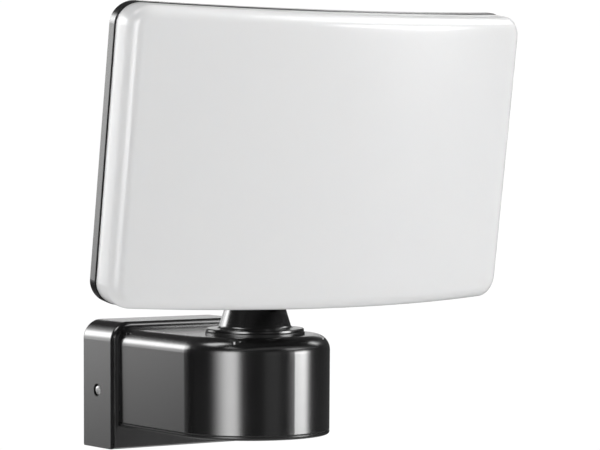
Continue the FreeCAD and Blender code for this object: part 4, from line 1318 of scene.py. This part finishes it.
@dataclass
class TiltBolt:
    """The cross bolt of the tilt joint and its locking nut."""

    flats: float = 13.0 * MM
    head_high: float = 5.0 * MM
    nut_high: float = 6.5 * MM
    radius: float = 4.0 * MM
    pitch: float = 1.25 * MM
    thread_past_nut: float = 5.0 * MM
    root_share: float = 0.9
    tip_share: float = 0.85
    sunk: float = 0.5 * MM

    def build(self) -> list[bpy.types.Object]:
        """Builds the bolt and the nut.

        Returns:
            The two pieces.
        """
        low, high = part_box("hinge_bolt")
        centre = (low + high) / 2
        bolt = HexFastener(self.flats, self.head_high).make("bolt_head_blank")
        shank = Shell()
        length = high.x - low.x
        tip = -length
        start = self.sunk - self.head_high
        profile: list[Point] = [(0.0, start), (self.radius, start)]
        height = tip + self.nut_high + self.thread_past_nut
        profile.append((self.radius, height))
        while height > tip + self.pitch * 1.3:
            profile += [
                (self.radius * self.root_share, height - self.pitch * 0.45),
                (self.radius, height - self.pitch * 0.85),
                (self.radius, height - self.pitch),
            ]
            height -= self.pitch
        profile += [(self.radius * self.tip_share, tip), (0.0, tip)]
        shank.turn(profile, 40)
        turn = Matrix.Translation((high.x, centre.y, centre.z)) @ Matrix.Rotation(math.pi / 2, 4, "Y")
        pieces = [
            self.merged("tilt_bolt", [bolt, shank.finished("bolt_shank")], turn, "hinge_bolt"),
        ]
        low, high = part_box("hinge_nut")
        nut = HexFastener(self.flats, self.nut_high).make("nut_blank", self.radius)
        turn = Matrix.Translation((low.x, centre.y, centre.z)) @ Matrix.Rotation(-math.pi / 2, 4, "Y")
        pieces.append(self.merged("tilt_nut", [nut], turn, "hinge_nut"))
        return pieces

    @staticmethod
    def merged(
        name: str, things: Sequence[bpy.types.Object], turn: Matrix, node: str
    ) -> bpy.types.Object:
        """Puts meshes into one piece, at its place in the row frame.

        Args:
            name: the piece's name.
            things: the meshes' objects, which are dropped.
            turn: from their frame to the row's.
            node: the CAD node that the piece stands for.

        Returns:
            The piece.
        """
        work = bmesh.new()
        for thing in things:
            work.from_mesh(thing.data)
            bpy.data.objects.remove(thing)
        bmesh.ops.transform(work, matrix=turn, verts=work.verts)
        mesh = bpy.data.meshes.new(name)
        work.to_mesh(mesh)
        work.free()
        mesh.shade_smooth()
        mesh.set_sharp_from_angle(angle=math.radians(25.0))
        piece = linked(name, mesh)
        piece.data.materials.append(STAINLESS.material())
        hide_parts(node)
        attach(piece, "head")
        LOG.info("%s: %d faces on head", name, len(mesh.polygons))
        return piece


@dataclass
class LedChip:
    """A small white LED package with a yellow phosphor window."""

    side: float = 3.2 * MM
    window: float = 2.5 * MM
    sunk: float = 0.12 * MM
    bevel: float = 0.05 * MM
    slope: float = 0.1 * MM
    centred: float = 0.01 * MM

    def make(self, high: float) -> bpy.types.Object:
        """Makes the package.

        Args:
            high: its height.

        Returns:
            The package, its outer face at the origin.
        """
        shell = Shell()
        half, inner = self.side / 2, self.window / 2
        rows = [
            (half, -high),
            (half, -self.bevel),
            (half - self.bevel, 0.0),
            (inner, 0.0),
            (inner - self.slope, -self.sunk),
        ]
        shell.prism([box_corners(reach, reach, height) for reach, height in rows])
        made = shell.finished("led_template")
        lit = made.data.attributes.new("second", "BOOLEAN", "FACE")
        for face in made.data.polygons:
            in_middle = math.hypot(face.center.x, face.center.y) < self.centred
            lit.data[face.index].value = in_middle and face.center.z > -high * 0.5
        return made


def dress_frame(frame: dict) -> None:
    """Gives every CAD node its own finish, or else that of its material slot.
    """
    for name, node in sorted(frame["nodes"].items()):
        finish = NODE_FINISHES.get(name) or SLOT_FINISHES[node.data.materials[0].name]
        node.data.materials[0] = finish.material()
        LOG.info("%s: finished as %s", name, finish.name)


def build_fixings(head: HeadFrame) -> None:
    """Builds every set of screws and the LEDs.

    Args:
        head: the head's frame.
    """
    forward = head.forward()
    tap = PanScrew(2.8 * MM, 1.4 * MM, 1.45 * MM)
    box = PanScrew(3.5 * MM, 2.4 * MM, 2.0 * MM, pitch=1.6 * MM)
    side = PanScrew(3.25 * MM, 2.2 * MM, 2.0 * MM, pitch=1.4 * MM, sides=36)
    sets = [
        ("bottom_screws", "base", "stainless", STAINLESS, Vector((0.0, 0.0, -1.0)), tap),
        ("diffuser_screws", "head", "stainless", STAINLESS, -forward, tap),
        ("cover_screws", "head", "stainless", STAINLESS, -forward, box),
        ("yoke_screws", "head", "stainless", STAINLESS, -forward, box),
        ("driver_screws", "head", "zinc_steel", ZINC, forward, tap),
        ("carrier_screws", "head", "zinc_steel", ZINC, forward, tap),
    ]
    for node, body, slot, finish, outward, screw in sets:
        RepeatedPart(node, body, slot, finish, outward).build(screw.make)
    sideways = Vector((1.0, 0.0, 0.0))
    RepeatedPart(
        "side_screws", "base", "stainless", STAINLESS, sideways, seed=3, mirrored=True
    ).build(side.make)
    RepeatedPart(
        "leds", "head", "led_phosphor", WHITE_PLASTIC, forward, PHOSPHOR, largest_turn=0.0
    ).build(LedChip().make)


# ---------------------------------------------------------------- studio


@dataclass(frozen=True)
class SoftBox:
    """A soft light as it is seen from the object, in degrees.

    Azimuth is 0 straight ahead of the object (-Y) and grows towards +X.
    """

    left: float
    right: float
    low: float
    high: float
    left_fade: float
    right_fade: float
    height_fade: float
    level: float


@dataclass
class Studio:
    """White surroundings with soft boxes, a pale floor, a black card and the camera."""

    target: Vector = field(default_factory=lambda: Vector((0.034022, -0.1243, 0.104253)))
    azimuth: float = math.radians(-33.84)
    elevation: float = math.radians(1.53)
    distance: float = 1.7502
    lens: float = 165.656
    floor_drop: float = 0.55
    boxes: tuple[SoftBox, ...] = (
        SoftBox(-95, -46, -22, 24, 32, 10, 14, 7.5),
        SoftBox(27, 63, -11, 13, 12, 12, 7, 13.0),
        SoftBox(-18, 16, -14, 20, 10, 10, 10, 0.35),
        SoftBox(-180, -142, -9, 30, 1, 8, 10, 2.4),
        SoftBox(-166, -140, 3, 25, 10, 8, 8, 5.0),
        SoftBox(140, 180, -9, 9, 6, 1, 6, 0.8),
        SoftBox(132, 158, 8, 17, 6, 6, 3, 1.1),
        SoftBox(15, 110, 18, 58, 25, 25, 10, 5.0),
        SoftBox(-140, -96, 42, 72, 12, 12, 8, 6.0),
    )
    fill: float = 0.06
    below: float = 0.8
    below_from: float = 20.0
    below_full: float = 48.0
    backdrop: float = 1.02
    floor_rings: tuple[float, ...] = (0.01, 0.4, 0.8, 1.6, 3.2, 9.0)
    floor_fade: tuple[float, float] = (0.7, 2.4)
    card: tuple[float, ...] = (-110.0, -36.0, -86.0, -70.0, 48.0)

    def camera(self) -> None:
        """Sets the camera up."""
        camera = linked("camera", bpy.data.cameras.new("camera"))
        turn, lift = self.azimuth, self.elevation
        back = Vector(
            (math.sin(turn) * math.cos(lift), -math.cos(turn) * math.cos(lift), math.sin(lift))
        )
        camera.location = self.target + back * self.distance
        camera.rotation_mode = "QUATERNION"
        camera.rotation_quaternion = (-back).to_track_quat("-Z", "Y")
        camera.data.sensor_width = 36.0
        camera.data.lens = self.lens
        bpy.context.scene.camera = camera

    def box_group(self) -> bpy.types.NodeTree:
        """Builds the group that draws one soft box on the surroundings.

        Returns:
            The group.
        """
        names = ["Azimuth", "Elevation", "Left", "Right", "Low", "High"]
        names += ["Left Fade", "Right Fade", "Height Fade", "Level"]
        inputs = [(name, "NodeSocketFloat", 0.0) for name in names]
        wiring, given, end = new_group(
            "soft_box", "ShaderNodeTree", inputs, [("Light", "NodeSocketFloat")]
        )

        def inside(value: str, low: str, high: str, low_fade: str, high_fade: str) -> object:
            """Steps up at the low edge and down at the high edge.

            Args:
                value: the name of what is compared.
                low: the name of the low edge.
                high: the name of the high edge.
                low_fade: the name of the fade at the low edge.
                high_fade: the name of the fade at the high edge.

            Returns:
                The window's socket.
            """
            rise_end = wiring.maths("ADD", given[low], given[low_fade])
            fall_start = wiring.maths("SUBTRACT", given[high], given[high_fade])
            rise = wiring.ramp(given[value], given[low], rise_end)
            fall = wiring.ramp(given[value], fall_start, given[high])
            return wiring.maths("MULTIPLY", rise, wiring.maths("SUBTRACT", 1.0, fall))

        wide = inside("Azimuth", "Left", "Right", "Left Fade", "Right Fade")
        tall = inside("Elevation", "Low", "High", "Height Fade", "Height Fade")
        lit = wiring.maths("MULTIPLY", wiring.maths("MULTIPLY", wide, tall), given["Level"])
        wiring.feed(end, {"Light": lit})
        return wiring.tree

    def surroundings(self) -> None:
        """Builds the world: what lights the object, and plain white behind it."""
        world = bpy.data.worlds.new("studio")
        bpy.context.scene.world = world
        world.use_nodes = True
        world.node_tree.nodes.clear()
        wiring = Wiring(world.node_tree)
        way = wiring.add("ShaderNodeTexCoord").outputs["Generated"]
        x, y, z = wiring.add("ShaderNodeSeparateXYZ", {0: way}).outputs
        azimuth = wiring.maths("ARCTAN2", x, wiring.maths("MULTIPLY", y, -1.0))
        elevation = wiring.maths("ARCSINE", z)
        tree = self.box_group()
        light: object = self.fill
        for box in self.boxes:
            node = wiring.add("ShaderNodeGroup", {}, node_tree=tree)
            sizes = {
                "Left": box.left,
                "Right": box.right,
                "Low": box.low,
                "High": box.high,
                "Left Fade": box.left_fade,
                "Right Fade": box.right_fade,
                "Height Fade": box.height_fade,
            }
            inputs = {name: math.radians(size) for name, size in sizes.items()}
            wiring.feed(node, {"Azimuth": azimuth, "Elevation": elevation, "Level": box.level, **inputs})
            light = wiring.maths("ADD", light, node.outputs[0])
        sunk = wiring.maths("MULTIPLY", elevation, -1.0)
        down = wiring.ramp(sunk, math.radians(self.below_from), math.radians(self.below_full))
        light = wiring.maths("MULTIPLY_ADD", down, self.below, light)
        white = (1.0, 1.0, 1.0)
        lit = wiring.add("ShaderNodeBackground", {"Color": white, "Strength": light})
        plain = wiring.add("ShaderNodeBackground", {"Color": white, "Strength": self.backdrop})
        seen = wiring.add("ShaderNodeLightPath").outputs["Is Camera Ray"]
        mixed = wiring.add("ShaderNodeMixShader", {0: seen, 1: lit.outputs[0], 2: plain.outputs[0]})
        wiring.add("ShaderNodeOutputWorld", {"Surface": mixed.outputs[0]})

    def floor(self) -> None:
        """Builds a pale floor well under the object, which fades into the white around it."""
        shell = Shell()
        low = -self.floor_drop
        rings = [shell.ring(circle_points(radius, low, 96)) for radius in self.floor_rings]
        shell.skin(rings)
        shell.mesh.faces.new(rings[0])
        floor = shell.finished("pale_floor")
        if floor.data.polygons[0].normal.z < 0:
            floor.data.flip_normals()
        paint = bpy.data.materials.new("pale_floor")
        paint.use_nodes = True
        wiring = Wiring(paint.node_tree)
        shader = paint.node_tree.nodes["Principled BSDF"]
        place = wiring.add("ShaderNodeTexCoord").outputs["Object"]
        away = wiring.add("ShaderNodeVectorMath", {0: place}, operation="LENGTH").outputs["Value"]
        far = wiring.ramp(away, *self.floor_fade)
        pale = {"Base Color": (0.86, 0.86, 0.86), "Roughness": 0.9, "Emission Strength": 0.4}
        wiring.feed(shader, {**pale, "Emission Color": (1.0, 1.0, 1.0)})
        light = {"Color": (1.0, 1.0, 1.0), "Strength": self.backdrop}
        glow = wiring.add("ShaderNodeEmission", light)
        output = paint.node_tree.nodes["Material Output"]
        mixed = wiring.add("ShaderNodeMixShader", {0: far, 1: shader.outputs[0], 2: glow.outputs[0]})
        wiring.feed(output, {"Surface": mixed.outputs[0]})
        floor.data.materials.append(paint)
        floor.visible_glossy = False
        floor.visible_diffuse = False

    def flag(self) -> None:
        """Builds a black card beside the wall box, which only its reflections see."""
        shell = Shell()
        left, back, front, low, high = (value * MM for value in self.card)
        corners = [(back, low), (front, low), (front, high), (back, high)]
        shell.prism([[Vector((x, y, z)) for y, z in corners] for x in (left, left - MM)])
        card = shell.finished("black_card")
        cloth = bpy.data.materials.new("black_cloth")
        cloth.use_nodes = True
        black = {"Base Color": (0.002, 0.002, 0.002), "Roughness": 1.0, "Specular IOR Level": 0.0}
        Wiring(cloth.node_tree).feed(cloth.node_tree.nodes["Principled BSDF"], black)
        card.data.materials.append(cloth)
        card.visible_camera = False
        card.visible_diffuse = False
        card.visible_shadow = False

    def build(self) -> None:
        """Builds the whole studio."""
        self.camera()
        self.surroundings()
        self.floor()
        self.flag()
        bpy.context.scene.view_settings.view_transform = "Standard"
        LOG.info("studio: %d soft boxes", len(self.boxes))


def main() -> None:
    """Builds the looks round the frame."""
    logging.basicConfig(level=logging.INFO, format="%(name)s: %(message)s")
    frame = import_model()
    Studio().build()
    dress_frame(frame)
    hinge = next(joint for joint in frame["joints"] if joint["name"] == "tilt")
    head = HeadFrame(Vector(hinge["pos_m"]))
    OpalPanel(head).build()
    build_fixings(head)
    TiltBolt().build()


if __name__ == "__main__":
    main()
